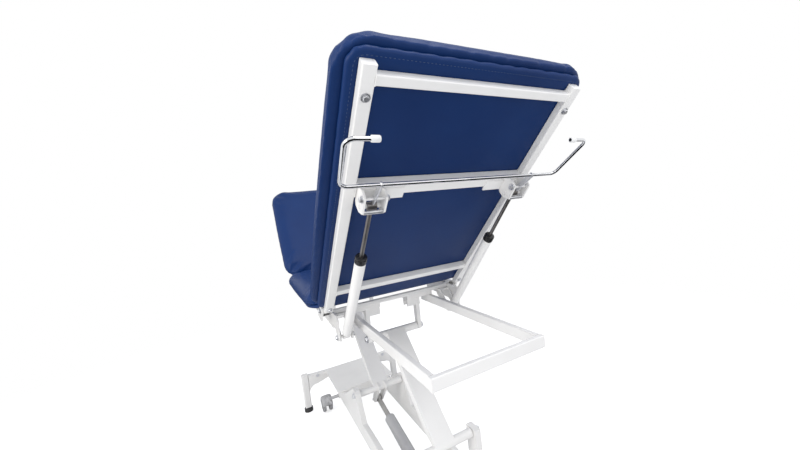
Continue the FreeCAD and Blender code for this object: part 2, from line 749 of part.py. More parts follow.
# Strut of the leg section; its lower lugs hang from the foot carrier
strut_low = V(leg_hinge_x - strut_low_out, 0, hinge_z - strut_low_drop)
strut_up = turned(Part.Vertex(strut_top).mirror(leg_hinge, X), leg_hinge, Y, leg_angle).Point
strut_run = strut_up - strut_low
strut_length = strut_run.Length
strut_pitch = math.degrees(math.atan2(strut_run.z, strut_run.x))
leg_cylinder = strut_cylinder(strut_r, strut_bore_r, strut_cylinder_end, strut_eye_r, strut_eye_half,
                              strut_pin_r,
                              strut_gap - 1, strut_rod_r, collar_length / 2, strut_r + 1)
leg_rod = strut_rod(strut_rod_r, strut_rod_start, strut_length, strut_eye_r, strut_eye_half, strut_pin_r)
nodes["leg_strut_cylinder"] = lay(leg_cylinder, strut_low, strut_pitch, 0)
nodes["leg_strut_rod"] = lay(leg_rod, strut_low, strut_pitch, 0)
carrier_edge = foot_top.x - carrier_width / 2 + tube_radius
strut_lug = [(carrier_edge + carrier_width / 2, u_top_z), (carrier_edge, u_top_z),
             (strut_low.x - strut_edge, strut_low.z),
             (strut_low.x - strut_edge / 2, strut_low.z - strut_edge),
             (strut_low.x + strut_edge, strut_low.z - strut_edge),
             (carrier_edge + carrier_width / 2, u_top_z - strut_heel)]
for side in (-1, 1):
    y0 = min(side * strut_gap, side * (strut_gap + lug_sheet))
    foot_carrier = joined(foot_carrier, prism(strut_lug, y0, y0 + lug_sheet),
                          hex_bolt(strut_low.x, side * (strut_gap + lug_sheet), strut_low.z, side, small_flat,
                                   small_head, small_washer_r, small_washer))
nodes["lift_carrier_foot"] = foot_carrier

# Base beams: box beam, raised cheek at the foot-side pivot, post at the head-side pivot, castor bar lugs
beam_top_z = beam_low_z + beam_height
beam_outer_y = beam_inner_y + beam_thick
beam_x0 = leg_foot_x - leg_size / 2
beam_x1 = leg_head_x + leg_size / 2
foot_bar_x = leg_foot_x + wheel_from_leg + bar_from_wheel
head_bar_x = leg_head_x - wheel_from_leg - bar_from_wheel
cheek_top = foot_pivot.z + cheek_radius
post_top = head_pivot.z + post_over
outline = [(beam_x0, beam_low_z), (beam_x1, beam_low_z), (beam_x1, beam_top_z),
           (head_pivot.x + post_width / 2, beam_top_z), (head_pivot.x + post_width / 2, post_top),
           (head_pivot.x - post_width / 2, post_top), (head_pivot.x - post_width / 2, beam_top_z),
           (foot_pivot.x + cheek_radius + cheek_head_run, beam_top_z),
           (foot_pivot.x + cheek_radius, foot_pivot.z + cheek_bevel),
           (foot_pivot.x + cheek_bevel, cheek_top), (foot_pivot.x - cheek_radius, cheek_top),
           (foot_pivot.x - cheek_radius - cheek_foot_run, beam_top_z), (beam_x0, beam_top_z)]
beam = prism(outline, beam_inner_y, beam_outer_y)
core = Part.makePolygon([V(x, 0, z) for x, z in outline + outline[:1]]).makeOffset2D(-beam_wall, 2)
core = Part.Face(core).extrude(V(0, beam_thick - 2 * beam_wall, 0))
core.translate(V(0, beam_inner_y + beam_wall, 0))
ends = box(beam_x0 - 1, beam_x1 + 1, beam_inner_y + beam_wall, beam_outer_y - beam_wall,
           beam_low_z + beam_wall,
           beam_top_z - beam_wall)
beam = beam.makeFillet(tube_radius, [e for e in along(beam, X) if e.Length > pan_length / 2])
beam = beam.cut([core, ends])
for x in (foot_bar_x, head_bar_x):
    lug_y0 = beam_inner_y + bar_lug_inset
    lug_y1 = beam_outer_y - bar_lug_inset
    lug = joined(box(x - bar_lug_radius, x + bar_lug_radius, lug_y0, lug_y1, bar_z, beam_low_z + 1),
                 rod_y(x, bar_z, lug_y0, lug_y1, bar_lug_radius))
    beam = joined(beam, lug).cut(rod_y(x, bar_z, beam_inner_y, beam_outer_y, bar_r + running))
for pivot in (foot_pivot, head_pivot):
    beam = beam.cut(rod_y(pivot.x, pivot.z, beam_inner_y - 1, beam_outer_y + 1, pivot_r + running))
nodes["base_beam_right"] = beam
nodes["base_beam_left"] = mirrored(beam)
lower_bolts = []
for pivot in (foot_pivot, head_pivot):
    bolt = hex_bolt(pivot.x, beam_outer_y, pivot.z, 1, bolt_flat, bolt_head, washer_r, washer_thick, pivot_r,
                    beam_thick + pivot_engage)
    lower_bolts += [bolt, mirrored(bolt)]
nodes["lower_pivot_bolts"] = Part.makeCompound(lower_bolts)


# Cross members: shallow pan on the beams with an outrigger to the leg at each side
def cross_member(leg_x, inward, near):
    far = leg_x - inward * leg_size / 2
    x0 = min(far, near)
    x1 = max(far, near)
    pan_top = beam_top_z + pan_depth
    pan = box(x0, x1, -pan_half_y, pan_half_y, beam_top_z, pan_top)
    pan = pan.makeFillet(pan_round, along(pan, Z))
    pan = pan.cut(box(x0 + pan_sheet, x1 - pan_sheet, pan_sheet - pan_half_y, pan_half_y - pan_sheet,
                      beam_top_z - 1, pan_top - pan_sheet))
    leg_in_y = leg_y - leg_size / 2
    low = leg_top_z - outrigger_low
    seat_y = pan_half_y - outrigger_root
    root_y = beam_outer_y + outrigger_root
    arc_end = V(0, leg_in_y - gusset_radius, low + gusset_rise)
    arc = Part.Arc(V(0, leg_in_y, low - gusset_radius / 2), V(0, leg_in_y - gusset_radius / 3, low), arc_end)
    corners = [arc_end, V(0, root_y, beam_top_z - shoulder_drop), V(0, root_y, beam_top_z),
               V(0, seat_y, beam_top_z),
               V(0, seat_y, pan_top), V(0, leg_in_y, leg_top_z - outrigger_drop),
               V(0, leg_in_y, low - gusset_radius / 2)]
    lines = [Part.makeLine(start, end) for start, end in zip(corners, corners[1:])] + [arc.toShape()]
    face = Part.Face(Part.Wire(lines))
    outrigger = face.extrude(V(leg_size, 0, 0))
    outrigger.translate(V(leg_x - leg_size / 2, 0, 0))
    return joined(pan, outrigger, mirrored(outrigger))


nodes["foot_cross_member"] = cross_member(leg_foot_x, 1, beam_x0 + pan_length)
nodes["head_cross_member"] = cross_member(leg_head_x, -1, head_pivot.x + post_width / 2 + pan_post_gap)

# Legs and rubber feet
feet = []
for end, x in (("foot", leg_foot_x), ("head", leg_head_x)):
    for name, y in (("left", -leg_y), ("right", leg_y)):
        half = leg_size / 2
        leg = tube(x - half, x + half, y - half, y + half, foot_height, leg_top_z, Z, tube_wall, leg_corner)
        lid = box(x - half + tube_wall, x + half - tube_wall, y - half + tube_wall, y + half - tube_wall,
                  leg_top_z - tube_wall, leg_top_z)
        nodes["leg_" + end + "_" + name] = joined(leg, lid)
        foot = Part.makeCylinder(foot_radius, foot_height, V(x, y, 0))
        feet.append(foot.makeChamfer(foot_bevel,
                                     [e for e in foot.Edges if e.BoundBox.ZMin > foot_height - 1]))
nodes["rubber_feet"] = Part.makeCompound(feet)

# Castors: torsion bar with a pedal and, at each side, a stem, hood and axle; a wheel is a pair of dished discs
wheel_z = wheel_r + wheel_clear_floor
disc_outer = disc_inner + disc_thick
hood_r = wheel_r + hood_gap + hood_sheet
for end, leg_x, inward in (("foot", leg_foot_x, 1), ("head", leg_head_x, -1)):
    wheel_x = leg_x + inward * wheel_from_leg
    bar_x = wheel_x + inward * bar_from_wheel
    carrier = rod_y(bar_x, bar_z, -wheel_y - stem_half, wheel_y + stem_half, bar_r)
    for name, y in (("left", -wheel_y), ("right", wheel_y)):
        stem = link_plate(bar_x, bar_z, stem_radius, wheel_x, wheel_z, stem_radius, y - stem_half,
                          y + stem_half)
        axle = rod_y(wheel_x, wheel_z, y - disc_outer - axle_end, y + disc_outer + axle_end, axle_r)
        hood = rod_y(wheel_x, wheel_z, y - disc_outer, y + disc_outer, hood_r)
        hood = hood.cut([rod_y(wheel_x, wheel_z, y - disc_outer - 1, y + disc_outer + 1, wheel_r + hood_gap),
                         box(wheel_x - hood_r - 1, wheel_x + hood_r + 1, y - disc_outer - 1,
                             y + disc_outer + 1,
                             wheel_z - hood_r - 1, wheel_z + hood_low)])
        pedal = rod(V(bar_x, y, bar_z), V(bar_x + inward * pedal_reach, y, bar_z + pedal_rise), pedal_r)
        carrier = joined(carrier, stem, axle, hood, pedal)
        disc = rod_y(wheel_x, wheel_z, y + disc_inner, y + disc_outer, wheel_r)
        disc = disc.makeChamfer(disc_bevel, [e for e in disc.Edges if e.BoundBox.YLength < 1])
        dish = rod_y(wheel_x, wheel_z, y + disc_outer - dish_depth, y + disc_outer + 1, dish_r)
        dish = dish.cut(rod_y(wheel_x, wheel_z, y + disc_inner, y + disc_outer + 2, hub_r))
        disc = disc.cut([dish, rod_y(wheel_x, wheel_z, y, y + disc_outer + 1, axle_r + running)])
        twin = disc.mirror(V(0, y, 0), Y)
        nodes["castor_wheel_" + end + "_" + name] = Part.makeCompound([disc, twin])
    nodes["castor_bar_" + end] = carrier

# Actuator, drawn along X from the rear pivot and then laid towards the crank pin
rear_pivot = V(rear_pivot_x, 0, rear_pivot_z)
crank_pin = turned(Part.Vertex(crank_tip), V(0, 0, 0), Y, arm_rest_angle).Point + foot_pivot
actuator_run = crank_pin - rear_pivot
actuator_length = actuator_run.Length
actuator_pitch = math.degrees(math.atan2(actuator_run.z, actuator_run.x))
housing = joined(rod(V(housing_start, 0, 0), V(housing_end, 0, 0), housing_r),
                 rod(V(actuator_eye_r - 1, 0, 0), V(housing_start, 0, 0), actuator_rod_r),
                 rod_y(0, 0, -actuator_eye_half, actuator_eye_half, actuator_eye_r))
housing = housing.cut([rod_y(0, 0, -actuator_eye_half - 1, actuator_eye_half + 1, actuator_pin_r + running),
                       rod(V(housing_start + housing_solid, 0, 0), V(housing_end - housing_cap, 0, 0),
                           housing_r - housing_wall),
                       rod(V(housing_end - housing_cap - 1, 0, 0), V(housing_end + 1, 0, 0),
                           actuator_rod_r + running)])
nodes["actuator_housing"] = lay(housing, rear_pivot, actuator_pitch, 0)
motor = box(motor_start, motor_start + motor_length, -motor_width / 2, motor_width / 2,
            -housing_r - motor_skin,
            motor_drop)
motor = motor.makeFillet(motor_round, along(motor, X))
motor = motor.cut([rod(V(housing_start, 0, 0), V(motor_start + motor_length + 1, 0, 0), housing_r),
                   rod(V(motor_start - 1, 0, 0), V(housing_start, 0, 0), actuator_rod_r)])
nodes["actuator_motor"] = lay(motor, rear_pivot, actuator_pitch, 0)
ram = strut_rod(actuator_rod_r, actuator_rod_start, actuator_length, actuator_eye_r, actuator_eye_half,
                actuator_pin_r)
ram = joined(ram, rod_y(actuator_length, 0, 1 - crank_half_gap, crank_half_gap - 1,
                        actuator_pin_r + 2 * running))
nodes["actuator_rod"] = lay(ram, rear_pivot, actuator_pitch, 0)

# Anchor bar between the beams with the two plates that hold the actuator's rear eye
anchor_low = beam_low_z + anchor_rise
anchor = tube(rear_pivot.x - anchor_width / 2, rear_pivot.x + anchor_width / 2, -beam_inner_y,
              beam_inner_y, anchor_low,
              anchor_low + anchor_height, Y)
for side in (-1, 1):
    y0 = min(side * anchor_half_gap, side * (anchor_half_gap + anchor_plate))
    plate = link_plate(rear_pivot.x, anchor_low, anchor_root_r, rear_pivot.x, rear_pivot.z, crank_tip_r, y0,
                       y0 + anchor_plate)
    above = box(rear_pivot.x - anchor_width, rear_pivot.x + anchor_width, y0 - 1, y0 + anchor_plate + 1,
                anchor_low,
                anchor_low + anchor_height)
    anchor = joined(anchor, plate.cut(above))
anchor = joined(anchor, rod_y(rear_pivot.x, rear_pivot.z, -anchor_half_gap - 1, anchor_half_gap + 1,
                              actuator_pin_r))
nodes["actuator_anchor"] = anchor

# The origin is under the middle of the whole outline, on the floor
extent = Part.makeCompound(list(nodes.values())).optimalBoundingBox(False)
shift = V(-(extent.XMin + extent.XMax) / 2, -(extent.YMin + extent.YMax) / 2, 0)
for name, shape in nodes.items():
    placed = shape.copy()
    placed.translate(shift)
    placed.exportStep("parts/" + name + ".step")
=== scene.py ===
import json
import math
import random

import bmesh
import bpy
import numpy as np
from mathutils import Matrix, Vector


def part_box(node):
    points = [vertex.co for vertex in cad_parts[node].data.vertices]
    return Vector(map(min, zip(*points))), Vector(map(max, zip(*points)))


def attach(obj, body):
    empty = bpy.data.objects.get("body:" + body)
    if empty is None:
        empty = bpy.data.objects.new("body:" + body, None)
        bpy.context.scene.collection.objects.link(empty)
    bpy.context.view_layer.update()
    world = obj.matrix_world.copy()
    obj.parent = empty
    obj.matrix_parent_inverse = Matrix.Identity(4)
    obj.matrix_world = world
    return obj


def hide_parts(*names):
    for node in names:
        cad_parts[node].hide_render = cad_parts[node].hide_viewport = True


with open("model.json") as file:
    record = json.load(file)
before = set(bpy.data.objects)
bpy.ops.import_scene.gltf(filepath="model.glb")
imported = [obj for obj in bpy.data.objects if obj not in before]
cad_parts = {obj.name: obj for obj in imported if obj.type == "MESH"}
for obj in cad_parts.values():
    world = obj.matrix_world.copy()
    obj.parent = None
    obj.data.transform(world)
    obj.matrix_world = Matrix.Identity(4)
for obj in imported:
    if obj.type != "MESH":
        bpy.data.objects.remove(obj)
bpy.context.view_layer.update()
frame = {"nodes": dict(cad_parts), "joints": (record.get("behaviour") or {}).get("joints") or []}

scene = bpy.context.scene
pivot = {j["name"]: Vector(j["pos_m"]) for j in frame["joints"] if "pos_m" in j}
limits = {j["name"]: j["range_deg"] for j in frame["joints"] if "range_deg" in j}

# Camera: a wide lens close behind the raised backrest, a little to the left of the table and level with
# the middle of the backrest. The offset keeps the table where the picture has it, right of the middle.
camera = bpy.data.objects.new("camera", bpy.data.cameras.new("camera"))
scene.collection.objects.link(camera)
scene.camera = camera
eye_behind = 0.58725
eye = Vector((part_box("u_cross_rail")[1].x + eye_behind, -0.426, 1.0184))
view_right = Vector((0.5087481, 0.8547937, -0.1024848))
view_down = Vector((0.0072228, -0.1232754, -0.9923462))
view_forward = Vector((-0.8608852, 0.5041140, -0.0688901))
view_turn = Matrix((view_right, -view_down, -view_forward)).transposed().to_4x4()
camera.matrix_world = Matrix.Translation(eye) @ view_turn
camera.data.sensor_width = 36.0
camera.data.lens = 15.611
camera.data.shift_x = -0.0592
camera.data.shift_y = 0.0031
camera.data.clip_start = 0.02

# Studio: a round pale floor that fades into a white surround, one broad lamp above and two at the sides.
# The surround is white to the camera and to reflections, and softer as light on the table. Dark cards
# lie and stand at both ends of the table, seen only in reflections, so that metal and paint show edges.


def add_node(tree, kind, inputs=None, **settings):
    # A new node with its settings and the values of its inputs, which go by name or by number.
    node = tree.nodes.new(kind)
    for label, value in settings.items():
        setattr(node, label, value)
    for label, value in (inputs or {}).items():
        node.inputs[label].default_value = value
    return node


def link(tree, *joins):
    # joins: a node and its output, then a node and its input.
    for source, output, target, socket in joins:
        tree.links.new(source.outputs[output], target.inputs[socket])


scene.view_settings.view_transform = "Standard"
world = bpy.data.worlds.new("white_surround")
scene.world = world
world.use_nodes = True
sky = world.node_tree
soft_light = sky.nodes["Background"]
soft_light.inputs["Color"].default_value = (0.94, 0.96, 1.0, 1)
soft_light.inputs["Strength"].default_value = 0.87
white = add_node(sky, "ShaderNodeBackground", {"Color": (1, 1, 1, 1)})
seen = add_node(sky, "ShaderNodeLightPath")
choose = add_node(sky, "ShaderNodeMixShader")
plain_view = (seen, "Is Camera Ray")
for kind in ("Is Glossy Ray", "Is Transmission Ray"):
    either = add_node(sky, "ShaderNodeMath", operation="MAXIMUM")
    link(sky, (*plain_view, either, 0), (seen, kind, either, 1))
    plain_view = (either, 0)
link(sky, (*plain_view, choose, 0), (soft_light, 0, choose, 1), (white, 0, choose, 2),
     (choose, 0, sky.nodes["World Output"], "Surface"))


def softbox(name, spot, aim, size, watts, colour):
    lamp = bpy.data.lights.new(name, "AREA")
    lamp.shape = "RECTANGLE"
    lamp.size, lamp.size_y = size
    lamp.energy = watts
    lamp.color = colour
    holder = bpy.data.objects.new(name, lamp)
    scene.collection.objects.link(holder)
    holder.location = spot
    holder.rotation_euler = (Vector(aim) - Vector(spot)).to_track_quat("-Z", "Y").to_euler()


softbox("top_softbox", (1.3, 0.3, 3.1), (0.3, 0.0, 0.6), (1.1, 1.1), 26, (0.97, 0.97, 1.0))
softbox("left_softbox", (1.1, -2.6, 1.6), (0.1, 0.0, 0.5), (1.0, 1.6), 34, (1.0, 0.98, 0.94))
softbox("rear_softbox", (3.0, 0.8, 0.7), (0.1, 0.0, 0.7), (1.4, 1.2), 8, (1.0, 0.99, 0.97))


def staged(name, corners, material):
    mesh = bpy.data.meshes.new(name)
    mesh.from_pydata(corners, [], [tuple(range(len(corners)))])
    mesh.materials.append(material)
    card = bpy.data.objects.new(name, mesh)
    scene.collection.objects.link(card)
    return card


floor_paint = bpy.data.materials.new("studio_floor")
floor_paint.use_nodes = True
floor_tree = floor_paint.node_tree
floor_tree.nodes.remove(floor_tree.nodes["Principled BSDF"])
matt = add_node(floor_tree, "ShaderNodeBsdfDiffuse", {"Color": (0.80, 0.80, 0.80, 1)})
glow = add_node(floor_tree, "ShaderNodeEmission")
glow_share = add_node(floor_tree, "ShaderNodeMath", {1: 0.60}, operation="MULTIPLY")
glow_view = add_node(floor_tree, "ShaderNodeLightPath")
lit = add_node(floor_tree, "ShaderNodeAddShader")
clear = add_node(floor_tree, "ShaderNodeBsdfTransparent")
floor_spot = add_node(floor_tree, "ShaderNodeTexCoord")
floor_reach = add_node(floor_tree, "ShaderNodeVectorMath", operation="LENGTH")
fade = add_node(floor_tree, "ShaderNodeMapRange", {"From Min": 1.3, "From Max": 3.0},
                interpolation_type="SMOOTHSTEP")
edge = add_node(floor_tree, "ShaderNodeMixShader")
link(floor_tree, (floor_spot, "Object", floor_reach, 0), (floor_reach, "Value", fade, "Value"),
     (glow_view, "Is Camera Ray", glow_share, 0), (glow_share, 0, glow, "Strength"), (matt, 0, lit, 0),
     (glow, 0, lit, 1), (fade, "Result", edge, 0), (lit, 0, edge, 1), (clear, 0, edge, 2),
     (edge, 0, floor_tree.nodes["Material Output"], "Surface"))
floor_radius, floor_sides = 6.0, 96
floor_turns = [math.tau * k / floor_sides for k in range(floor_sides)]
staged("studio_floor", [(floor_radius * math.cos(a), floor_radius * math.sin(a), 0) for a in floor_turns],
       floor_paint)

dark_card = bpy.data.materials.new("dark_card")
dark_card.use_nodes = True
card_shader = dark_card.node_tree.nodes["Principled BSDF"]
card_shader.inputs["Base Color"].default_value = (0.012, 0.012, 0.014, 1)
card_shader.inputs["Specular IOR Level"].default_value = 0.0
card_half, card_low = 2.0, 0.004
for name, near, far, height in (("card_behind", 0.3, 2.4, 0.9), ("card_ahead", -0.9, -3.2, 1.1)):
    lying = ((near, -1, card_low), (far, -1, card_low), (far, 1, card_low), (near, 1, card_low))
    standing = ((far, -1, card_low), (far, 1, card_low), (far, 1, height), (far, -1, height))
    for part, corners in (("_floor", lying), ("_wall", standing)):
        card = staged(name + part, [(x, side * card_half, z) for x, side, z in corners], dark_card)
        card.visible_camera = card.visible_diffuse = False
        card.visible_shadow = card.visible_transmission = False

# Base: two box beams of folded steel, two pressed cross members and four square legs, welded and then
# powder coated white. The coat has a fine orange peel, a slow change of tone and duller specks.


def node_group(name, inputs, outputs):
    tree = bpy.data.node_groups.new(name, "ShaderNodeTree")
    for label, value in inputs.items():
        tree.interface.new_socket(label, in_out="INPUT", socket_type="NodeSocketFloat").default_value = value
    for label in outputs:
        tree.interface.new_socket(label, in_out="OUTPUT", socket_type="NodeSocketFloat")
    return tree, tree.nodes.new("NodeGroupInput"), tree.nodes.new("NodeGroupOutput")


# Skin of a surface: Height is a fine relief, Patches is a slow change of tone, Specks are dull.
surface_skin, skin_in, skin_out = node_group(
    "surface_skin", {"Grain": 900.0, "Patch": 9.0, "Speck": 160.0}, ("Height", "Patches", "Specks"))
skin_spot = add_node(surface_skin, "ShaderNodeTexCoord")
for label, output, detail, low, high in (("Grain", "Height", 2.0, 0.2, 0.8),
                                         ("Patch", "Patches", 5.0, 0.3, 0.7),
                                         ("Speck", "Specks", 3.0, 0.56, 0.8)):
    cloud = add_node(surface_skin, "ShaderNodeTexNoise", {"Detail": detail})
    stretch = add_node(surface_skin, "ShaderNodeMapRange", {"From Min": low, "From Max": high})
    link(surface_skin, (skin_spot, "Object", cloud, "Vector"), (skin_in, label, cloud, "Scale"),
         (cloud, "Fac", stretch, "Value"), (stretch, "Result", skin_out, output))


def finish(name, scales, light, dark, rough, strength, depth, group=surface_skin, **sockets):
    # A material whose tone runs from dark to light over its patches, with a fine relief of its own.
    # scales: the skin group's inputs, in their order. rough: away from the specks and at them. strength and
    # depth: of the relief.
    material = bpy.data.materials.new(name)
    material.use_nodes = True
    tree = material.node_tree
    shader = tree.nodes["Principled BSDF"]
    for label, value in sockets.items():
        shader.inputs[label.replace("_", " ")].default_value = value
    skin = add_node(tree, "ShaderNodeGroup", dict(enumerate(scales)), node_tree=group)
    tone = add_node(tree, "ShaderNodeValToRGB")
    for stop, colour in zip(tone.color_ramp.elements, (dark, light)):
        stop.color = (*colour, 1)
    gloss = add_node(tree, "ShaderNodeMapRange", {"To Min": rough[0], "To Max": rough[1]})
    bump = add_node(tree, "ShaderNodeBump", {"Strength": strength, "Distance": depth})
    link(tree, (skin, "Patches", tone, "Fac"), (tone, "Color", shader, "Base Color"),
         (skin, "Specks", gloss, "Value"), (gloss, "Result", shader, "Roughness"),
         (skin, "Height", bump, "Height"), (bump, "Normal", shader, "Normal"))
    return material


def paint(material, *names):
    for name in names:
        slots = frame["nodes"][name].data.materials
        slots.clear()
        slots.append(material)


legs = ("leg_foot_left", "leg_foot_right", "leg_head_left", "leg_head_right")
white_coat = finish("white_powder_coat", (700.0, 6.0, 120.0), (0.86, 0.85, 0.835), (0.80, 0.79, 0.775),
                    (0.30, 0.42), 0.25, 0.0004)
paint(white_coat, "base_beam_left", "base_beam_right", "foot_cross_member", "head_cross_member", *legs,
      "actuator_anchor")

# Feet: black rubber buffers turned with three ribs, one under each leg. The rubber is dull, with a fine
# grain and duller specks.
black_rubber = finish("black_rubber", (1400.0, 30.0, 200.0), (0.045, 0.045, 0.047), (0.022, 0.022, 0.023),
                      (0.55, 0.8), 0.4, 0.0004)


def ringed_mesh(name, rings):
    # Closed skin through rings of equal count, with a flat face at both ends.
    count = len(rings[0])
    faces = [tuple(range(count))[::-1]]
    for k in range(len(rings) - 1):
        for i in range(count):
            j = (i + 1) % count
            faces.append((k * count + i, k * count + j, (k + 1) * count + j, (k + 1) * count + i))
    faces.append(tuple((len(rings) - 1) * count + i for i in range(count)))
    mesh = bpy.data.meshes.new(name)
    mesh.from_pydata(np.concatenate(rings).tolist(), [], faces)
    mesh.update()
    return mesh


def turned_mesh(name, profile, placing, sides=40):
    # Lathe work: profile gives radius and height along the axis, which is the placing's own z.
    angles = np.arange(sides) * math.tau / sides
    rings = [np.column_stack([radius * np.cos(angles), radius * np.sin(angles), np.full(sides, height)])
             for radius, height in profile]
    mesh = ringed_mesh(name, rings)
    mesh.transform(placing)
    return mesh


def along_axis(start, direction):
    return Matrix.Translation(start) @ direction.to_track_quat("Z", "Y").to_matrix().to_4x4()


def merged(name, meshes):
    whole = bmesh.new()
    for mesh in meshes:
        whole.from_mesh(mesh)
    bmesh.ops.recalc_face_normals(whole, faces=whole.faces)
    result = bpy.data.meshes.new(name)
    whole.to_mesh(result)
    whole.free()
    return result


def show(name, mesh, material, body, smooth=None):
    # Puts a mesh, or a list of meshes as one, into the scene on its body; smooth is an angle in degrees.
    if isinstance(mesh, list):
        mesh = merged(name, mesh)
    if material is not None:
        mesh.materials.clear()
        mesh.materials.append(material)
    mesh.shade_smooth()
    if smooth is not None:
        mesh.set_sharp_from_angle(angle=math.radians(smooth))
    piece = bpy.data.objects.new(name, mesh)
    scene.collection.objects.link(piece)
    if body:
        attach(piece, body)
    return piece


foot_profile = ((0.0180, 0.0), (0.0205, 0.0012), (0.0210, 0.0035), (0.0210, 0.0062), (0.0202, 0.0070),
                (0.0202, 0.0078), (0.0210, 0.0086), (0.0210, 0.0118), (0.0202, 0.0126), (0.0202, 0.0134),
                (0.0210, 0.0142), (0.0210, 0.0200), (0.0198, 0.0228), (0.0165, 0.0240), (0.0120, 0.0249))
feet = []
for leg in legs:
    low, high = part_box(leg)
    under_leg = Matrix.Translation(((low.x + high.x) / 2, (low.y + high.y) / 2, 0))
    feet.append(turned_mesh("foot", foot_profile, under_leg))
rubber_feet = show("rubber_buffers", feet, black_rubber, "base", smooth=45)
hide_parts("rubber_feet")

# Pan lip: the foot pan's edge, folded down between the beams to stiffen the sheet. It has the base's white
# coat and stands a little proud of the pan's edge.


def slab(name, section, y0, y1):
    # Flat bar across the table; the section is given in x and z.
    return ringed_mesh(name, [np.array([(x, y, z) for x, z in section]) for y in (y0, y1)])


lip_sheet, lip_drop, lip_proud, lip_under, lip_gap = 0.003, 0.039, 0.0004, 0.0012, 0.0005
pan_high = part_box("foot_cross_member")[1]
lip_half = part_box("base_beam_right")[0].y - lip_gap
lip_x, lip_top = pan_high.x + lip_proud, pan_high.z - lip_under
lip_section = ((lip_x - lip_sheet, lip_top - lip_drop), (lip_x, lip_top - lip_drop), (lip_x, lip_top),
               (lip_x - lip_sheet, lip_top))
pan_lip = show("pan_lip", [slab("pan_lip", lip_section, -lip_half, lip_half)], white_coat, "base", smooth=30)

# Castors: pairs of grey plastic wheels under a moulded hood, on zinc plated stems that swing down from a
# torsion bar. Each hood is one section swept over its wheel.
grey_tyre = finish("grey_tyre", (900.0, 40.0, 150.0), (0.36, 0.36, 0.37), (0.27, 0.27, 0.28),
                   (0.45, 0.7), 0.3, 0.0004)
grey_hood = finish("grey_hood", (1100.0, 35.0, 170.0), (0.47, 0.47, 0.48), (0.39, 0.39, 0.40),
                   (0.38, 0.58), 0.3, 0.0003)
dull_zinc = finish("dull_zinc", (500.0, 60.0, 220.0), (0.66, 0.66, 0.67), (0.56, 0.56, 0.58),
                   (0.50, 0.62), 0.15, 0.0003, Metallic=0.6)
paint(dull_zinc, "castor_bar_foot", "castor_bar_head")
hood_half = ((0.0402, 0.0), (0.0386, 0.0222), (0.0374, 0.0232), (0.0280, 0.0235), (0.0278, 0.0248),
             (0.0345, 0.0251), (0.0386, 0.0243), (0.0412, 0.0222), (0.0427, 0.0180), (0.0435, 0.0090),
             (0.0437, 0.0))
hood_section = hood_half + tuple((r, -across) for r, across in hood_half[-2:0:-1])
hood_from, hood_sweep, hood_steps = 14, 152, 28
hood_turns = [math.radians(hood_from + hood_sweep * k / hood_steps) for k in range(hood_steps + 1)]
for end in ("foot", "head"):
    hoods = []
    for side in ("left", "right"):
        wheel = "castor_wheel_%s_%s" % (end, side)
        paint(grey_tyre, wheel)
        low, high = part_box(wheel)
        centre = (low + high) / 2
        hoods.append(ringed_mesh("hood", [
            np.array([(centre.x + r * math.cos(a), centre.y + across, centre.z + r * math.sin(a))
                      for r, across in hood_section]) for a in hood_turns]))
    hood = show("castor_hoods_" + end, hoods, grey_hood, "castors_" + end, smooth=40)

# Lift: two parallel arms of folded channel on pivot bolts, and the carriers that hang from the seat frame.
# White coat, with zinc plated hexagon bolts at the lower pivots and on the outriggers.
zinc = finish("zinc_plate", (500.0, 60.0, 220.0), (0.80, 0.81, 0.84), (0.68, 0.69, 0.72),
              (0.34, 0.50), 0.15, 0.0003, Metallic=0.9)
paint(white_coat, "lift_arm_foot", "lift_arm_head", "lift_carrier_foot", "lift_carrier_head")


def geometry_tree(name, floats):
    # A tree with a path or points going in, named sizes, a material and the finished mesh coming out.
    tree = bpy.data.node_groups.new(name, "GeometryNodeTree")
    tree.interface.new_socket("Geometry", in_out="INPUT", socket_type="NodeSocketGeometry")
    for label, value in floats.items():
        tree.interface.new_socket(label, in_out="INPUT", socket_type="NodeSocketFloat").default_value = value
    tree.interface.new_socket("Finish", in_out="INPUT", socket_type="NodeSocketMaterial")
    tree.interface.new_socket("Geometry", in_out="OUTPUT", socket_type="NodeSocketGeometry")
    return tree, tree.nodes.new("NodeGroupInput"), tree.nodes.new("NodeGroupOutput")


def close_tree(tree, inside, outside, copies):
    real = add_node(tree, "GeometryNodeRealizeInstances")
    coat = add_node(tree, "GeometryNodeSetMaterial")
    link(tree, (copies, "Instances", real, "Geometry"), (real, "Geometry", coat, "Geometry"),
         (inside, "Finish", coat, "Material"), (coat, "Geometry", outside, "Geometry"))


def tree_math(tree, operation, *values):
    # Each value is a number, or a node and its output; the result is a node and its output.
    result = add_node(tree, "ShaderNodeMath", operation=operation)
    for k, value in enumerate(values):
        if isinstance(value, float):
            result.inputs[k].default_value = value
        else:
            link(tree, (*value, result, k))
    return result, 0


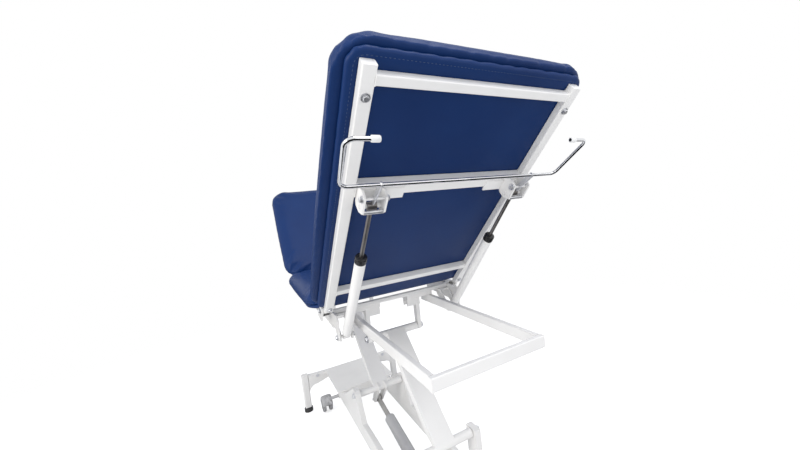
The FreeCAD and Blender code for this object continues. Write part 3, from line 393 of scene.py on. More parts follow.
def bolt_tree():
    # Hexagon heads with a bevelled top on round washers, one on each point, standing along its facing.
    tree, inside, outside = geometry_tree(
        "hex_bolts", {"Corner": 0.0058, "Head": 0.005, "Washer": 0.008, "Sheet": 0.0015})
    corner, head, sheet = (inside, "Corner"), (inside, "Head"), (inside, "Sheet")
    body_share, bevel_share, top_share = 0.82, 0.18, 0.86
    washer = add_node(tree, "GeometryNodeMeshCylinder", {"Vertices": 32})
    link(tree, (inside, "Washer", washer, "Radius"), (inside, "Sheet", washer, "Depth"))
    body_height = tree_math(tree, "MULTIPLY", head, body_share)
    bevel_height = tree_math(tree, "MULTIPLY", head, bevel_share)
    bevel_corner = tree_math(tree, "MULTIPLY", corner, top_share)
    parts = [(washer, tree_math(tree, "MULTIPLY", sheet, 0.5))]
    base_height = sheet
    for top_corner, height in ((corner, body_height), (bevel_corner, bevel_height)):
        prism = add_node(tree, "GeometryNodeMeshCone", {"Vertices": 6})
        link(tree, (*corner, prism, "Radius Bottom"), (*top_corner, prism, "Radius Top"),
             (*height, prism, "Depth"))
        parts.append((prism, base_height))
        base_height = tree_math(tree, "ADD", base_height, height)
    join = add_node(tree, "GeometryNodeJoinGeometry")
    for part, height in parts:
        offset = add_node(tree, "ShaderNodeCombineXYZ")
        raised = add_node(tree, "GeometryNodeTransform")
        link(tree, (*height, offset, "Z"), (part, "Mesh", raised, "Geometry"),
             (offset, 0, raised, "Translation"), (raised, "Geometry", join, "Geometry"))
    facing = add_node(tree, "GeometryNodeInputNamedAttribute", {"Name": "facing"}, data_type="FLOAT_VECTOR")
    turn = add_node(tree, "FunctionNodeAlignRotationToVector", axis="Z")
    copies = add_node(tree, "GeometryNodeInstanceOnPoints")
    link(tree, (facing, "Attribute", turn, "Vector"), (inside, "Geometry", copies, "Points"),
         (join, "Geometry", copies, "Instance"), (turn, "Rotation", copies, "Rotation"))
    close_tree(tree, inside, outside, copies)
    return tree


hex_bolts = bolt_tree()


def evaluated(piece):
    return bpy.data.meshes.new_from_object(piece.evaluated_get(bpy.context.evaluated_depsgraph_get()))


def made_by(tree, name, mesh, sizes, material):
    # Runs a tree on a helper mesh and gives the result as a plain mesh.
    helper = bpy.data.objects.new(name, mesh)
    scene.collection.objects.link(helper)
    work = helper.modifiers.new("work", "NODES")
    work.node_group = tree
    values = dict(sizes, Finish=material)
    for item in tree.interface.items_tree:
        if item.in_out == "INPUT" and item.name in values:
            work[item.identifier] = values[item.name]
    result = evaluated(helper)
    helper.modifiers.clear()
    bpy.data.objects.remove(helper)
    result.name = name
    return result


large_bolt = {"Corner": 0.0098, "Head": 0.0068, "Washer": 0.0128, "Sheet": 0.002}
small_bolt = {"Corner": 0.0060, "Head": 0.0050, "Washer": 0.0082, "Sheet": 0.0016}


def bolts(name, size, spots):
    # spots: place and facing of each bolt
    mesh = bpy.data.meshes.new(name)
    mesh.from_pydata([tuple(spot) for spot, facing in spots], [], [])
    store = mesh.attributes.new("facing", "FLOAT_VECTOR", "POINT")
    store.data.foreach_set("vector", np.array([tuple(facing) for spot, facing in spots], np.float32).ravel())
    return made_by(hex_bolts, name, mesh, size, zinc)


def pair(point, reach):
    # The same place at both sides of the table, facing outwards.
    return [(Vector((point.x, side * reach, point.z)), Vector((0, side, 0))) for side in (-1, 1)]


def inner_reach(node, head):
    # How far out the sheet lies under a bolt of the solid model, whose head has this height.
    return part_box(node)[1].y - head


pivot_head = 0.009
lower_reach = inner_reach("lower_pivot_bolts", pivot_head)
spots = pair(pivot["lift"], lower_reach) + pair(pivot["head_arm_swing"], lower_reach)
pivot_bolts = bolts("base_bolts", large_bolt, spots)
outrigger_in, outrigger_drop = 0.046, 0.018
spots = []
for leg, inward in (("leg_foot_right", 1), ("leg_head_right", -1)):
    low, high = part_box(leg)
    face_x = high.x if inward > 0 else low.x
    for side in (-1, 1):
        spot = Vector((face_x, side * (low.y - outrigger_in), high.z - outrigger_drop))
        spots.append((spot, Vector((inward, 0, 0))))
outrigger_bolts = bolts("outrigger_bolts", small_bolt, spots)
base_bolts = show("base_bolts", [pivot_bolts, outrigger_bolts], zinc, "base", smooth=30)
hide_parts("lower_pivot_bolts")

# Actuator: grey moulded housing and a lighter motor cover with a sliding steel tube, pinned between the
# anchor bar on the base and the crank of the foot-side arm.
grey_housing = finish("grey_housing", (1200.0, 20.0, 150.0), (0.50, 0.50, 0.51), (0.44, 0.44, 0.45),
                      (0.38, 0.55), 0.35, 0.0003)
light_cover = finish("light_cover", (1200.0, 20.0, 150.0), (0.62, 0.62, 0.63), (0.56, 0.56, 0.57),
                     (0.38, 0.55), 0.35, 0.0003)
grey_rod = finish("grey_rod", (500.0, 50.0, 200.0), (0.50, 0.49, 0.48), (0.43, 0.42, 0.41),
                  (0.30, 0.45), 0.1, 0.0002, Metallic=0.4)
paint(grey_housing, "actuator_housing")
paint(light_cover, "actuator_motor")
paint(grey_rod, "actuator_rod")

# Upper frame: seat rails, cross rails and the U-shaped frame of welded square tube under the backrest, with
# the hinge pins, the lift's upper pivot bolts and the bolts of the gas springs' lower eyes.
paint(white_coat, "u_rail_left", "u_rail_right", "u_cross_rail", "seat_rail_left", "seat_rail_right",
      "seat_cross_head", "seat_cross_foot")


def row_tree():
    # Small rounded lumps at an even pitch along a path: stitches, and the ripples of a weld.
    tree, inside, outside = geometry_tree(
        "rows", {"Pitch": 0.007, "Length": 0.004, "Width": 0.0012, "Unevenness": 0.1})
    curve = add_node(tree, "GeometryNodeMeshToCurve")
    even = add_node(tree, "GeometryNodeResampleCurve", mode="LENGTH")
    lump = add_node(tree, "GeometryNodeMeshUVSphere", {"Segments": 8, "Rings": 6, "Radius": 0.5})
    tangent = add_node(tree, "GeometryNodeInputTangent")
    turn = add_node(tree, "FunctionNodeAlignRotationToVector", axis="X")
    chance = add_node(tree, "FunctionNodeRandomValue", {"Seed": 5}, data_type="FLOAT")
    least = tree_math(tree, "SUBTRACT", 1.0, (inside, "Unevenness"))
    most = tree_math(tree, "ADD", 1.0, (inside, "Unevenness"))
    width = tree_math(tree, "MULTIPLY", (inside, "Width"), (chance, 1))
    shape = add_node(tree, "ShaderNodeCombineXYZ")
    copies = add_node(tree, "GeometryNodeInstanceOnPoints")
    link(tree, (*least, chance, 2), (*most, chance, 3), (inside, "Length", shape, "X"),
         (*width, shape, "Y"), (*width, shape, "Z"), (inside, "Geometry", curve, "Mesh"),
         (curve, "Curve", even, "Curve"), (inside, "Pitch", even, "Length"),
         (even, "Curve", copies, "Points"), (lump, "Mesh", copies, "Instance"),
         (tangent, "Tangent", turn, "Vector"), (turn, "Rotation", copies, "Rotation"),
         (shape, 0, copies, "Scale"))
    close_tree(tree, inside, outside, copies)
    return tree


rows = row_tree()
weld_size = {"Pitch": 0.0016, "Length": 0.0034, "Width": 0.0034, "Unevenness": 0.16}


def path_mesh(name, paths, closed=False):
    points, edges = [], []
    for path in paths:
        first = len(points)
        points += [tuple(p) for p in path]
        edges += [(first + k, first + k + 1) for k in range(len(path) - 1)]
        if closed:
            edges.append((len(points) - 1, first))
    mesh = bpy.data.meshes.new(name)
    mesh.from_pydata(points, edges, [])
    return mesh


def welds(name, body, paths):
    beads = made_by(rows, name, path_mesh(name, paths), weld_size, white_coat)
    piece = show(name, beads, white_coat, body)


weld_inset = 0.002
hinge = pivot["backrest"]
low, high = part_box("u_cross_rail")
paths = []
for side in (-1, 1):
    inside_y = side * (high.y - (high.x - low.x))
    paths.append([(low.x, inside_y, low.z + weld_inset), (low.x, inside_y, high.z - weld_inset)])
seat_tube, lug_back, bead_drops = 0.020, 0.015, (0.024, 0.012)
bead_ends = {"seat_cross_head": hinge.x - lug_back, "seat_cross_foot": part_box("seat_cross_foot")[1].x}
for node, bead_x in bead_ends.items():
    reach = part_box(node)[1].y
    for side in (-1, 1):
        for x in (bead_x - seat_tube, bead_x):
            paths.append([(x, side * reach, hinge.z - drop) for drop in bead_drops])
welds("upper_frame_welds", "upper_frame", paths)

low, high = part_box("gas_cylinder_right")
spring_y = (low.y + high.y) / 2
lugs_low, lugs_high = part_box("seat_cross_head")
lug_tip, lug_outside = 0.013, 0.020
spring_low = Vector((lugs_high.x - lug_tip, 0, lugs_low.z + lug_tip))
gusset_inner, gusset_sheet = 0.2138, 0.0053
spots = []
for side in (-1, 1):
    for out, reach in ((side, gusset_inner + gusset_sheet), (-side, spring_y - lug_outside)):
        spots.append((Vector((spring_low.x, side * reach, spring_low.z)), Vector((0, out, 0))))
pin_head = 0.0065
pin_reach = inner_reach("hinge_pins", pin_head)
spots += pair(hinge, pin_reach) + pair(pivot["leg_section"], pin_reach)
frame_bolts = bolts("small_bolts", dict(small_bolt, Corner=0.0066, Washer=0.0092), spots)
low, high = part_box("lift_carrier_head")
carrier_eye = 0.014
head_top = Vector(((low.x + high.x) / 2, 0, low.z + carrier_eye))
upper_reach = inner_reach("upper_pivot_bolts", pivot_head)
spots = pair(pivot["upper_level"], upper_reach) + pair(head_top, upper_reach)
pivot_bolts = bolts("pivot_bolts", large_bolt, spots)
frame_bolts = show("frame_bolts", [frame_bolts, pivot_bolts], zinc, "upper_frame", smooth=30)
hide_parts("hinge_pins", "upper_pivot_bolts")

# Hinge gussets: a flat plate under each seat rail, from the rail past the backrest's hinge to the outer lug
# of the gas spring. Cut steel, welded to the rail and coated with it.
gusset_start = hinge.x - 0.188
lug_round, lug_neck = 0.0124, 0.016
lug_end = [(spring_low.x + lug_round * math.cos(a), spring_low.z + lug_round * math.sin(a))
           for a in map(math.radians, range(200, 376, 16))]
# Both edges: x, and depth below the hinge.
lower_edge = ((gusset_start, 0.055), (hinge.x - 0.018, 0.0665), (hinge.x, 0.064),
              (spring_low.x - 0.034, 0.046))
upper_edge = ((spring_low.x + 0.020, 0.028), (spring_low.x + 0.010, 0.014), (hinge.x + 0.010, 0.012),
              (gusset_start, 0.008))
gusset_outline = [(x, hinge.z - drop) for x, drop in lower_edge]
gusset_outline += [(spring_low.x - lug_neck, spring_low.z + lug_neck)] + lug_end
gusset_outline += [(x, hinge.z - drop) for x, drop in upper_edge]
plates = [slab("gusset", gusset_outline, side * gusset_inner, side * (gusset_inner + gusset_sheet))
          for side in (-1, 1)]
gussets = show("hinge_gussets", plates, white_coat, "upper_frame", smooth=30)

# Seat upholstery: a foam pad under navy vinyl on a plywood board. The cover is drawn round the board's
# edge, so a seam with small gathers runs between the pad and the board, and it is stitched on the back.


def vinyl_group():
    tree, inside, outside = node_group(
        "vinyl_skin", {"Grain": 850.0, "Patch": 7.0, "Crease": 26.0}, ("Height", "Patches", "Specks"))
    spot = add_node(tree, "ShaderNodeTexCoord")
    pebbles = add_node(tree, "ShaderNodeTexVoronoi", {"Smoothness": 0.6}, feature="SMOOTH_F1")
    tone = add_node(tree, "ShaderNodeTexNoise", {"Detail": 4.0})
    crease = add_node(tree, "ShaderNodeTexNoise", {"Detail": 3.0, "Distortion": 0.6})
    total = add_node(tree, "ShaderNodeMath", {1: 2.2}, operation="MULTIPLY_ADD")
    even = add_node(tree, "ShaderNodeMapRange", {"From Min": 0.3, "From Max": 0.7})
    for label, texture in (("Grain", pebbles), ("Patch", tone), ("Crease", crease)):
        link(tree, (spot, "Object", texture, "Vector"), (inside, label, texture, "Scale"))
    link(tree, (crease, "Fac", total, 0), (pebbles, "Distance", total, 2), (total, 0, outside, "Height"),
         (tone, "Fac", even, "Value"), (even, "Result", outside, "Patches"),
         (pebbles, "Distance", outside, "Specks"))
    return tree


navy_vinyl = finish("navy_vinyl", (850.0, 7.0, 26.0), (0.0034, 0.0285, 0.128), (0.0025, 0.0232, 0.110),
                    (0.40, 0.53), 0.22, 0.0006, group=vinyl_group(), Specular_IOR_Level=0.22)
pale_thread = finish("pale_thread", (2500.0, 300.0, 900.0), (0.045, 0.085, 0.20), (0.03, 0.06, 0.15),
                     (0.6, 0.8), 0.4, 0.0002)
stitch_size = {"Pitch": 0.0075, "Length": 0.0044, "Width": 0.0010, "Unevenness": 0.12}


def section_place(origin, direction, angle):
    # Matrix of a section: its own x runs along the section from the hinge and its z is the upholstered side.
    along = Vector((direction * math.cos(angle), 0, math.sin(angle)))
    across = Vector((0, direction, 0))
    return Matrix.Translation(origin) @ Matrix((along, across, along.cross(across))).transposed().to_4x4()


def extent(node, placing):
    back = np.array(placing.inverted())
    corners = np.array([v.co for v in frame["nodes"][node].data.vertices]) @ back[:3, :3].T + back[:3, 3]
    return corners.min(0), corners.max(0)


def outline(low, high, inset, corner, pitch=0.008, arc=10, least=0.004):
    # Points round a rectangle with rounded corners; every inset gives the same number of points.
    r = max(corner - inset, least)
    x0, x1, y0, y1 = low[0] + inset, high[0] - inset, low[1] + inset, high[1] - inset
    steps_x, steps_y = int((high[0] - low[0]) / pitch), int((high[1] - low[1]) / pitch)
    run_x, run_y = x1 - x0 - 2 * r, y1 - y0 - 2 * r
    ring = []
    for cx, cy, turn, steps, run in ((x1 - r, y0 + r, -90, steps_y, (0, run_y)),
                                     (x1 - r, y1 - r, 0, steps_x, (-run_x, 0)),
                                     (x0 + r, y1 - r, 90, steps_y, (0, -run_y)),
                                     (x0 + r, y0 + r, 180, steps_x, (run_x, 0))):
        for k in range(arc):
            a = math.radians(turn + 90 * k / arc)
            ring.append((cx + r * math.cos(a), cy + r * math.sin(a)))
        a = math.radians(turn + 90)
        x, y = cx + r * math.cos(a), cy + r * math.sin(a)
        ring += [(x + run[0] * k / steps, y + run[1] * k / steps) for k in range(steps)]
    return np.array(ring)


def normal_of(ring):
    tangent = np.roll(ring, -1, 0) - np.roll(ring, 1, 0)
    normal = np.column_stack([tangent[:, 1], -tangent[:, 0]])
    return normal / np.linalg.norm(normal, axis=1)[:, None]


def coordinates(mesh):
    flat = np.empty(len(mesh.vertices) * 3, np.float32)
    mesh.vertices.foreach_get("co", flat)
    return flat.reshape(-1, 3).astype(float)


def set_coordinates(mesh, points):
    mesh.vertices.foreach_set("co", points.astype(np.float32).ravel())
    mesh.update()


def swell(name, mesh, voxel, pressure, cap, hold, frames=20):
    # Blows the foam pad up inside its cover; points below hold rest on the board and stay there.
    piece = show(name, mesh, None, None)
    grid = piece.modifiers.new("grid", "REMESH")
    grid.mode = "VOXEL"
    grid.voxel_size = voxel
    dense = evaluated(piece)
    piece.modifiers.clear()
    piece.data = dense
    rest = coordinates(dense)
    resting = piece.vertex_groups.new(name="resting")
    resting.add(np.flatnonzero(rest[:, 2] < hold).tolist(), 1.0, "REPLACE")
    cover = piece.modifiers.new("cover", "CLOTH").settings
    cover.quality = 4
    cover.mass = 0.25
    cover.tension_stiffness = 12
    cover.compression_stiffness = 12
    cover.bending_stiffness = 0.4
    cover.use_pressure = True
    cover.uniform_pressure_force = pressure
    cover.effector_weights.gravity = 0
    cover.vertex_group_mass = "resting"
    for step in range(1, frames + 1):
        scene.frame_set(step)
    swollen = coordinates(evaluated(piece))
    piece.modifiers.clear()
    scene.frame_set(1)
    move = swollen - rest
    size = np.linalg.norm(move, axis=1)
    rest = rest + move * (cap * np.tanh(size / cap) / np.maximum(size, 1e-9))[:, None]
    set_coordinates(dense, rest)
    finer = piece.modifiers.new("finer", "SUBSURF")
    finer.levels = finer.render_levels = 1
    fine = evaluated(piece)
    piece.modifiers.clear()
    bpy.data.objects.remove(piece)
    return fine


def gathers(length, spacing, seed):
    # Place, size and width of each gather along the seam.
    draw = random.Random(seed)
    spots = []
    at = spacing * draw.uniform(0.3, 0.7)
    while at < length:
        spots.append((at, draw.uniform(0.4, 1.0), draw.uniform(0.7, 1.3)))
        at += spacing * draw.uniform(0.7, 1.3)
    return spots


def gather_depth(distance, spots, width):
    depth = np.zeros_like(distance)
    for at, size, share in spots:
        depth = np.maximum(depth, size * np.exp(-((distance - at) / (width * share)) ** 2))
    return depth


pad_corner, board_corner = 0.075, 0.031
side_crown, end_tuck = 0.005, 0.004
start_inset, swell_room, rest_band = 0.004, 0.006, 0.003
pad_round, round_steps = 0.028, 8
pad_edge = ((0.014, 0.0), (0.007, 0.0025), (0.0025, 0.007), (0.0005, 0.012))
gather_spacing, pad_gather, board_gather = 0.040, 0.007, 0.009
side_gathers, end_band = 0.4, 0.03
gather_zone, gather_fade = 0.060, 0.050
# How far a gather draws the pad in, and how far up its side.
gather_pulls = ((0.0022, 0.012), (0.0004, 0.026))
board_pucker = 0.0022
# The board's edge: inset, rise and share of the puckers. In board_top the rise starts from the board's top.
board_edge = ((0.016, 0.0, 0.0), (0.006, 0.0002, 0.1), (0.0025, 0.0018, 0.4), (0.0006, 0.0045, 0.8),
              (0.0, 0.0075, 1.0), (0.0010, 0.0100, 1.0))
board_top = ((0.0045, 0.0, 0.8), (0.020, 0.0005, 0.0))
seam_inset, seam_proud = 0.012, 0.0002
flush_inset = 0.003


def upholster(prefix, body, placing, pad_node, board_node, seed, flush=False):
    pad_low, pad_high = extent(pad_node, placing)
    board_low, board_high = extent(board_node, placing)
    corner = board_corner
    if flush:
        board_low[1], board_high[1] = pad_low[1] + flush_inset, pad_high[1] - flush_inset
        corner = pad_corner - flush_inset
    rim = outline(pad_low, pad_high, 0.0, pad_corner)
    end_share = np.where(rim[:, 0] > pad_high[0] - end_band, 1.0, side_gathers)
    step = np.linalg.norm(np.roll(rim, -1, 0) - rim, axis=1)
    travelled = np.concatenate([[0], np.cumsum(step)[:-1]])
    spots = gathers(step.sum(), gather_spacing, seed)

    # Pad: starts a little small, swells to the size of its solid, and is drawn in at the gathers of the seam.
    top = pad_high[2] - pad_low[2] - swell_room
    profile = list(pad_edge)
    for k in range(round_steps + 1):
        a = math.radians(90 * k / round_steps)
        profile.append((pad_round * (1 - math.cos(a)), top - pad_round + pad_round * math.sin(a)))
    mesh = ringed_mesh(prefix + "_pad_start", [
        np.column_stack([outline(pad_low, pad_high, start_inset + inset, pad_corner),
                         np.full(len(rim), pad_low[2] + rise)]) for inset, rise in profile])
    mesh = swell(prefix + "_cushion", mesh, voxel=0.006, pressure=4.0, cap=0.009, hold=pad_low[2] + rest_band)
    points = coordinates(mesh)
    swollen_low, swollen_high = points.min(0), points.max(0)
    tucked = np.array([end_tuck, 0, 0])
    points = pad_low - tucked + (points - swollen_low) * (pad_high - pad_low) / (swollen_high - swollen_low)
    middle = (pad_low + pad_high) / 2
    half = (pad_high - pad_low) / 2
    across = (points[:, 1] - middle[1]) / half[1]
    points[:, 1] += side_crown * across ** 3 * (1 - ((points[:, 0] - middle[0]) / half[0]) ** 2)
    beyond = np.maximum(np.abs(points[:, :2] - middle[:2]) - (half[:2] - gather_zone), 0).max(1)
    near = np.flatnonzero(beyond > 0)
    nearest = ((points[near, None, :2] - rim[None]) ** 2).sum(2).argmin(1)
    depth = (gather_depth(travelled, spots, pad_gather) * end_share)[nearest]
    rise = points[near, 2] - pad_low[2]
    draw_in = sum(pull * depth * np.exp(-(rise / height) ** 2) for pull, height in gather_pulls)
    side = np.clip(beyond[near] / gather_fade, 0, 1)
    points[near, :2] -= normal_of(rim)[nearest] * (draw_in * side)[:, None]
    set_coordinates(mesh, points)
    mesh.transform(placing)
    cushion = show(prefix + "_cushion", mesh, navy_vinyl, body)
    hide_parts(pad_node)

    # Board: plywood under the folded-over cover, full at the edge and flat on the rails.
    deep = board_high[2] - board_low[2]
    rings = []
    top_edge = tuple((inset, deep + rise, wave) for inset, rise, wave in board_top)
    for inset, rise, wave in board_edge + top_edge:
        ring = outline(board_low, board_high, inset, corner)
        puckers = gather_depth(np.linspace(0, step.sum(), len(ring)), spots, board_gather)
        puckers *= np.where(ring[:, 0] > board_high[0] - end_band, 1.0, side_gathers)
        ring = ring - normal_of(ring) * (board_pucker * wave * puckers)[:, None]
        rings.append(np.column_stack([ring, np.full(len(ring), board_low[2] + rise)]))
    mesh = ringed_mesh(prefix + "_board_cover", rings)
    mesh.transform(placing)
    cover = show(prefix + "_board_cover", mesh, navy_vinyl, body, smooth=50)
    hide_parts(board_node)

    # Stitches: one row round the board's back.
    seam = outline(board_low, board_high, seam_inset, corner)
    seam = np.column_stack([seam, np.full(len(seam), board_low[2] - seam_proud)])
    thread = path_mesh(prefix + "_stitches", [seam], closed=True)
    thread.transform(placing)
    mesh = made_by(rows, prefix + "_stitches", thread, stitch_size, pale_thread)
    stitches = show(prefix + "_stitches", mesh, pale_thread, body)


seat_place = section_place(pivot["leg_section"], 1, 0.0)
upholster("seat", "upper_frame", seat_place, "seat_pad", "seat_board", 11, flush=True)

# Backrest frame: two side rails and three cross rails of square tube, welded, behind the board and bolted
# to it with hexagon bolts. More bolts hold the gas springs' upper eyes in their clevises.
back_place = section_place(hinge, 1, math.radians(-limits["backrest"][0]))
paint(white_coat, "back_rail_left", "back_rail_right", "back_top_rail", "back_mid_rail", "back_low_rail")


def rail_welds(name, body, placing, nodes):
    # A bead round the three open sides of each cross rail where it meets the side rails.
    paths = []
    for node in nodes:
        (x0, y0, z0), (x1, y1, z1) = extent(node, placing)
        corners = ((x0, z1 - weld_inset), (x0, z0 + weld_inset), (x0 + weld_inset, z0),
                   (x1 - weld_inset, z0), (x1, z0 + weld_inset), (x1, z1 - weld_inset))
        for y in (y0, y1):
            paths.append([placing @ Vector((x, y, z)) for x, z in corners])
    welds(name, body, paths)


rail_welds("back_frame_welds", "backrest", back_place, ("back_top_rail", "back_mid_rail", "back_low_rail"))
low, high = extent("back_bolts", back_place)
washer = 0.008
facing = (back_place.to_3x3() @ Vector((0, 0, -1))).normalized()
spots = []
for u in (low[0] + washer, high[0] - washer):
    for y in (low[1] + washer, high[1] - washer):
        spots.append((back_place @ Vector((u, y, high[2])), facing))
board_bolts = bolts("board_bolts", small_bolt, spots)
release_axis = back_place.inverted() @ pivot["release_bar"]
clevis_reach = 0.025
spots = []
for y in (-spring_y, spring_y):
    for side in (-1, 1):
        spot = back_place @ Vector((release_axis.x, y + side * clevis_reach, release_axis.z))
        spots.append((spot, Vector((0, side, 0))))
clevis_bolts = bolts("clevis_bolts", dict(small_bolt, Corner=0.0064, Washer=0.0085), spots)
back_bolts = show("backrest_bolts", [board_bolts, clevis_bolts], zinc, "backrest", smooth=30)
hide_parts("back_bolts")

# Backrest upholstery: foam, vinyl and board as on the seat, but the board is narrower than the pad, so that
# its covered edge shows as a second, lower step behind the cushion.
upholster("back", "backrest", back_place, "back_pad", "back_board", 23)

# Gas springs: white painted cylinders with a crimped shoulder, a ribbed black gland and a dark piston rod,
# from the seat's head cross rail to the clevises on the backrest's middle rail.
dark_rod = finish("dark_rod", (700.0, 40.0, 300.0), (0.30, 0.285, 0.275), (0.22, 0.21, 0.205),
                  (0.38, 0.48), 0.1, 0.0002, Metallic=1.0)
black_gland = finish("black_gland", (900.0, 50.0, 260.0), (0.026, 0.026, 0.028), (0.014, 0.014, 0.015),
                     (0.16, 0.30), 0.15, 0.0002)
paint(dark_rod, "gas_rod_left", "gas_rod_right")
paint(white_coat, "spring_clevis_left", "spring_clevis_right")
crosswise = Vector((0, 1, 0))
spring_top = {"left": pivot["spring_tilt_left"], "right": pivot["spring_tilt_right"]}
stay_half, stay_radius = 0.0207, 0.0043
stay_profile = ((stay_radius, 0.0), (stay_radius, 2 * stay_half))
stay_offset = back_place.to_3x3() @ Vector((-0.003, 0, -0.0155))
stays = []
for top_end in spring_top.values():
    start = top_end + stay_offset - stay_half * crosswise
    stays.append(turned_mesh("stay", stay_profile, along_axis(start, crosswise), sides=24))
clevis_stays = show("clevis_stays", stays, zinc, "backrest", smooth=40)


def mirrored(profile):
    return profile + [(radius, -at) for radius, at in profile[::-1]]


# Profiles: shares of a radius, with heights from the lower eye, from the tube's end or along the eye's half.
spring_radius, tube_end = 0.014, 0.358
eye_radius, eye_half = 0.009, 0.010
pin_radius, pin_proud, pin_bevel = 0.0048, 0.0042, 0.0004
gland_radius, gland_length = 0.015, 0.021
rib_start, rib_room, rib_count = 0.0022, 0.0075, 4
rib_pitch = (gland_length - rib_room) / rib_count
shoulder = ((0.55, 0.006), (0.60, 0.010), (0.72, 0.0115), (0.88, 0.0135), (0.97, 0.017), (1.0, 0.022))
crimp = ((1.0, 0.012), (0.965, 0.010), (0.965, 0.007), (1.0, 0.005), (1.0, 0.0015), (0.93, 0.0))
eye_rim = ((0.80, 1.0), (0.95, 0.97), (1.0, 0.88))
rib = ((1.0, 0.62), (0.93, 0.70), (0.93, 0.90), (1.0, 0.98))
gland_tip = ((1.0, 0.0045), (0.94, 0.0022), (0.70, 0.0006), (0.45, 0.0))
tube_profile = [(share * spring_radius, at) for share, at in shoulder]
tube_profile += [(share * spring_radius, tube_end - back) for share, back in crimp]
eye_profile = mirrored([(share * eye_radius, -at * eye_half) for share, at in eye_rim])
pin_end = -eye_half - pin_proud
pin_profile = mirrored([(pin_radius - pin_bevel, pin_end), (pin_radius, pin_end + pin_bevel)])
gland_steps = [(0.86, -0.0005), (0.96, 0.0006), (1.0, rib_start)]
gland_steps += [(share, rib_start + (k + at) * rib_pitch) for k in range(rib_count) for share, at in rib]
gland_steps += [(share, gland_length - back) for share, back in gland_tip]
gland_profile = [(share * gland_radius, tube_end + at) for share, at in gland_steps]
for side, top_end in spring_top.items():
    low_end = Vector((spring_low.x, top_end.y, spring_low.z))
    placing = along_axis(low_end, (top_end - low_end).normalized())
    eye_place = along_axis(low_end, crosswise)
    name, body = "gas_spring_" + side, "spring_cylinder_" + side
    parts = [turned_mesh("tube", tube_profile, placing), turned_mesh("eye", eye_profile, eye_place, sides=32),
             turned_mesh("pin", pin_profile, eye_place, sides=24)]
    shell = show(name + "_tube", parts, white_coat, body, smooth=40)
    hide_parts("gas_cylinder_" + side)
    gland = turned_mesh(name + "_gland", gland_profile, placing)
    collar = show(name + "_gland", gland, black_gland, body, smooth=40)

# Release bar: one bent chrome rod with a white plastic cap on each grip, welded to two zinc plated levers
# that turn in the clevises and press the gas springs' valves.
chrome = finish("chrome_bar", (300.0, 20.0, 250.0), (0.80, 0.81, 0.83), (0.74, 0.75, 0.78),
                (0.05, 0.10), 0.05, 0.0002, Metallic=1.0)
white_cap = finish("white_cap", (1200.0, 60.0, 300.0), (0.84, 0.84, 0.83), (0.77, 0.77, 0.76),
                   (0.35, 0.5), 0.2, 0.0002)
lever_round = 0.006
cap_radius, cap_length, cap_share = 0.008, 0.022, 0.75
rod_radius, bend_radius, rod_lean = 0.004, 0.016, 0.0115
release_low, release_high = extent("release_bar", back_place)
grip_low, grip_high = extent("release_grip_right", back_place)
bar_u, bar_v = release_high[0] - lever_round, release_low[2] + lever_round
grip_u, grip_v = grip_high[0] - cap_radius, grip_low[2] + cap_radius
bar_side, grip_side, grip_end = grip_high[1] - rod_lean, grip_high[1] - rod_radius, grip_low[1]
half_rod = ((grip_u, grip_end, grip_v), (grip_u, grip_side, grip_v), (bar_u, bar_side, bar_v))
rod_corners = [Vector((u, -y, v)) for u, y, v in half_rod] + [Vector(spot) for spot in half_rod[::-1]]


def bent_path(points, radius, steps=10):
    # Straight runs with a true arc at each bend.
    path = [points[0]]
    for before, corner, after in zip(points, points[1:], points[2:]):
        a = (before - corner).normalized()
        b = (after - corner).normalized()
        half_angle = a.angle(b) / 2
        reach = radius / math.tan(half_angle)
        centre = corner + (a + b).normalized() * (radius / math.sin(half_angle))
        start, end = corner + a * reach - centre, corner + b * reach - centre
        for k in range(steps + 1):
            path.append(centre + start.slerp(end, k / steps).normalized() * radius)
    path.append(points[-1])
    return path


def wire_mesh(name, path, radius, placing):
    wire = bpy.data.curves.new(name, "CURVE")
    wire.dimensions = "3D"
    wire.bevel_depth = radius
    wire.bevel_resolution = 7
    wire.use_fill_caps = True
    run = wire.splines.new("POLY")
    run.points.add(len(path) - 1)
    for point, co in zip(run.points, path):
        point.co = (*(placing @ co), 1)
    helper = bpy.data.objects.new(name, wire)
    scene.collection.objects.link(helper)
    mesh = evaluated(helper)
    bpy.data.objects.remove(helper)
    return mesh


rod_mesh = wire_mesh("release_rod", bent_path(rod_corners, bend_radius), rod_radius, back_place)
release_rod = show("release_rod", rod_mesh, chrome, "release", smooth=50)
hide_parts("release_bar", "release_grip_left", "release_grip_right")
cap_steps = ((0.55, 0.0), (0.85, 0.03), (1.0, 0.11), (1.0, 0.87), (0.93, 0.96), (0.72, 1.0))
cap_profile = [(share * cap_radius * cap_share, at * cap_length * cap_share) for share, at in cap_steps]
caps = []
for side in (-1, 1):
    cap_start = back_place @ Vector((grip_u, side * grip_end, grip_v))
    caps.append(turned_mesh("cap", cap_profile, along_axis(cap_start, side * crosswise), sides=32))
grip_caps = show("grip_caps", caps, white_cap, "release", smooth=40)


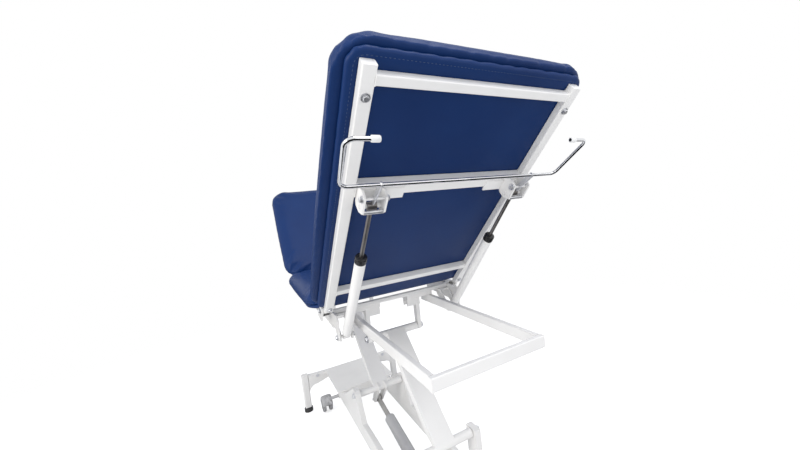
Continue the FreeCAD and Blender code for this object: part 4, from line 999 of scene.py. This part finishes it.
def link_outline(start, r0, end, r1, steps=14):
    # Outline of a flat link with two round ends.
    run = end - start
    heading = math.atan2(run.y, run.x)
    lean = math.acos((r0 - r1) / run.length)
    ring = []
    for centre, r, a0, a1 in ((start, r0, heading + lean, heading + math.tau - lean),
                              (end, r1, heading - lean, heading + lean)):
        for k in range(steps + 1):
            a = a0 + (a1 - a0) * k / steps
            ring.append((centre.x + r * math.cos(a), centre.y + r * math.sin(a)))
    return np.array(ring)


def plate_mesh(name, ring, y0, y1, placing, bevel=0.0006):
    # Flat plate with broken edges; the outline lies in the section's own x and z.
    inner = ring - normal_of(ring) * bevel
    rings = [np.column_stack([flat[:, 0], np.full(len(flat), y), flat[:, 1]])
             for flat, y in ((inner, y0), (ring, y0 + bevel), (ring, y1 - bevel), (inner, y1))]
    mesh = ringed_mesh(name, rings)
    mesh.transform(placing)
    return mesh


lever_sheet, lever_eye = 0.004, 0.007
tail_sheet, tail_eye, tail_length, tail_round = 0.0038, 0.0069, 0.012, 0.004
lever_axis = Vector((release_axis.x, release_axis.z))
arm = link_outline(lever_axis, lever_eye, Vector((bar_u, bar_v)), lever_round)
tail = link_outline(lever_axis, tail_eye, lever_axis - Vector((tail_length, 0)), tail_round)
levers = []
for y in (-spring_y, spring_y):
    for flat, sheet in ((arm, lever_sheet), (tail, tail_sheet)):
        levers.append(plate_mesh("lever", flat, y - sheet / 2, y + sheet / 2, back_place))
release_levers = show("release_levers", levers, zinc, "release", smooth=35)

# Leg section: two side rails, a cross rail and an end rail of square tube, welded and coated white, with a
# gas strut from the foot carrier. It is upholstered as the seat is.
leg_place = section_place(pivot["leg_section"], -1, math.radians(-limits["leg_section"][0]))
paint(white_coat, "leg_rail_left", "leg_rail_right", "leg_cross_rail", "leg_end_rail", "leg_strut_cylinder")
paint(dark_rod, "leg_strut_rod")
rail_welds("leg_frame_welds", "leg_section", leg_place, ("leg_end_rail",))
upholster("leg", "leg_section", leg_place, "leg_pad", "leg_board", 37, flush=True)
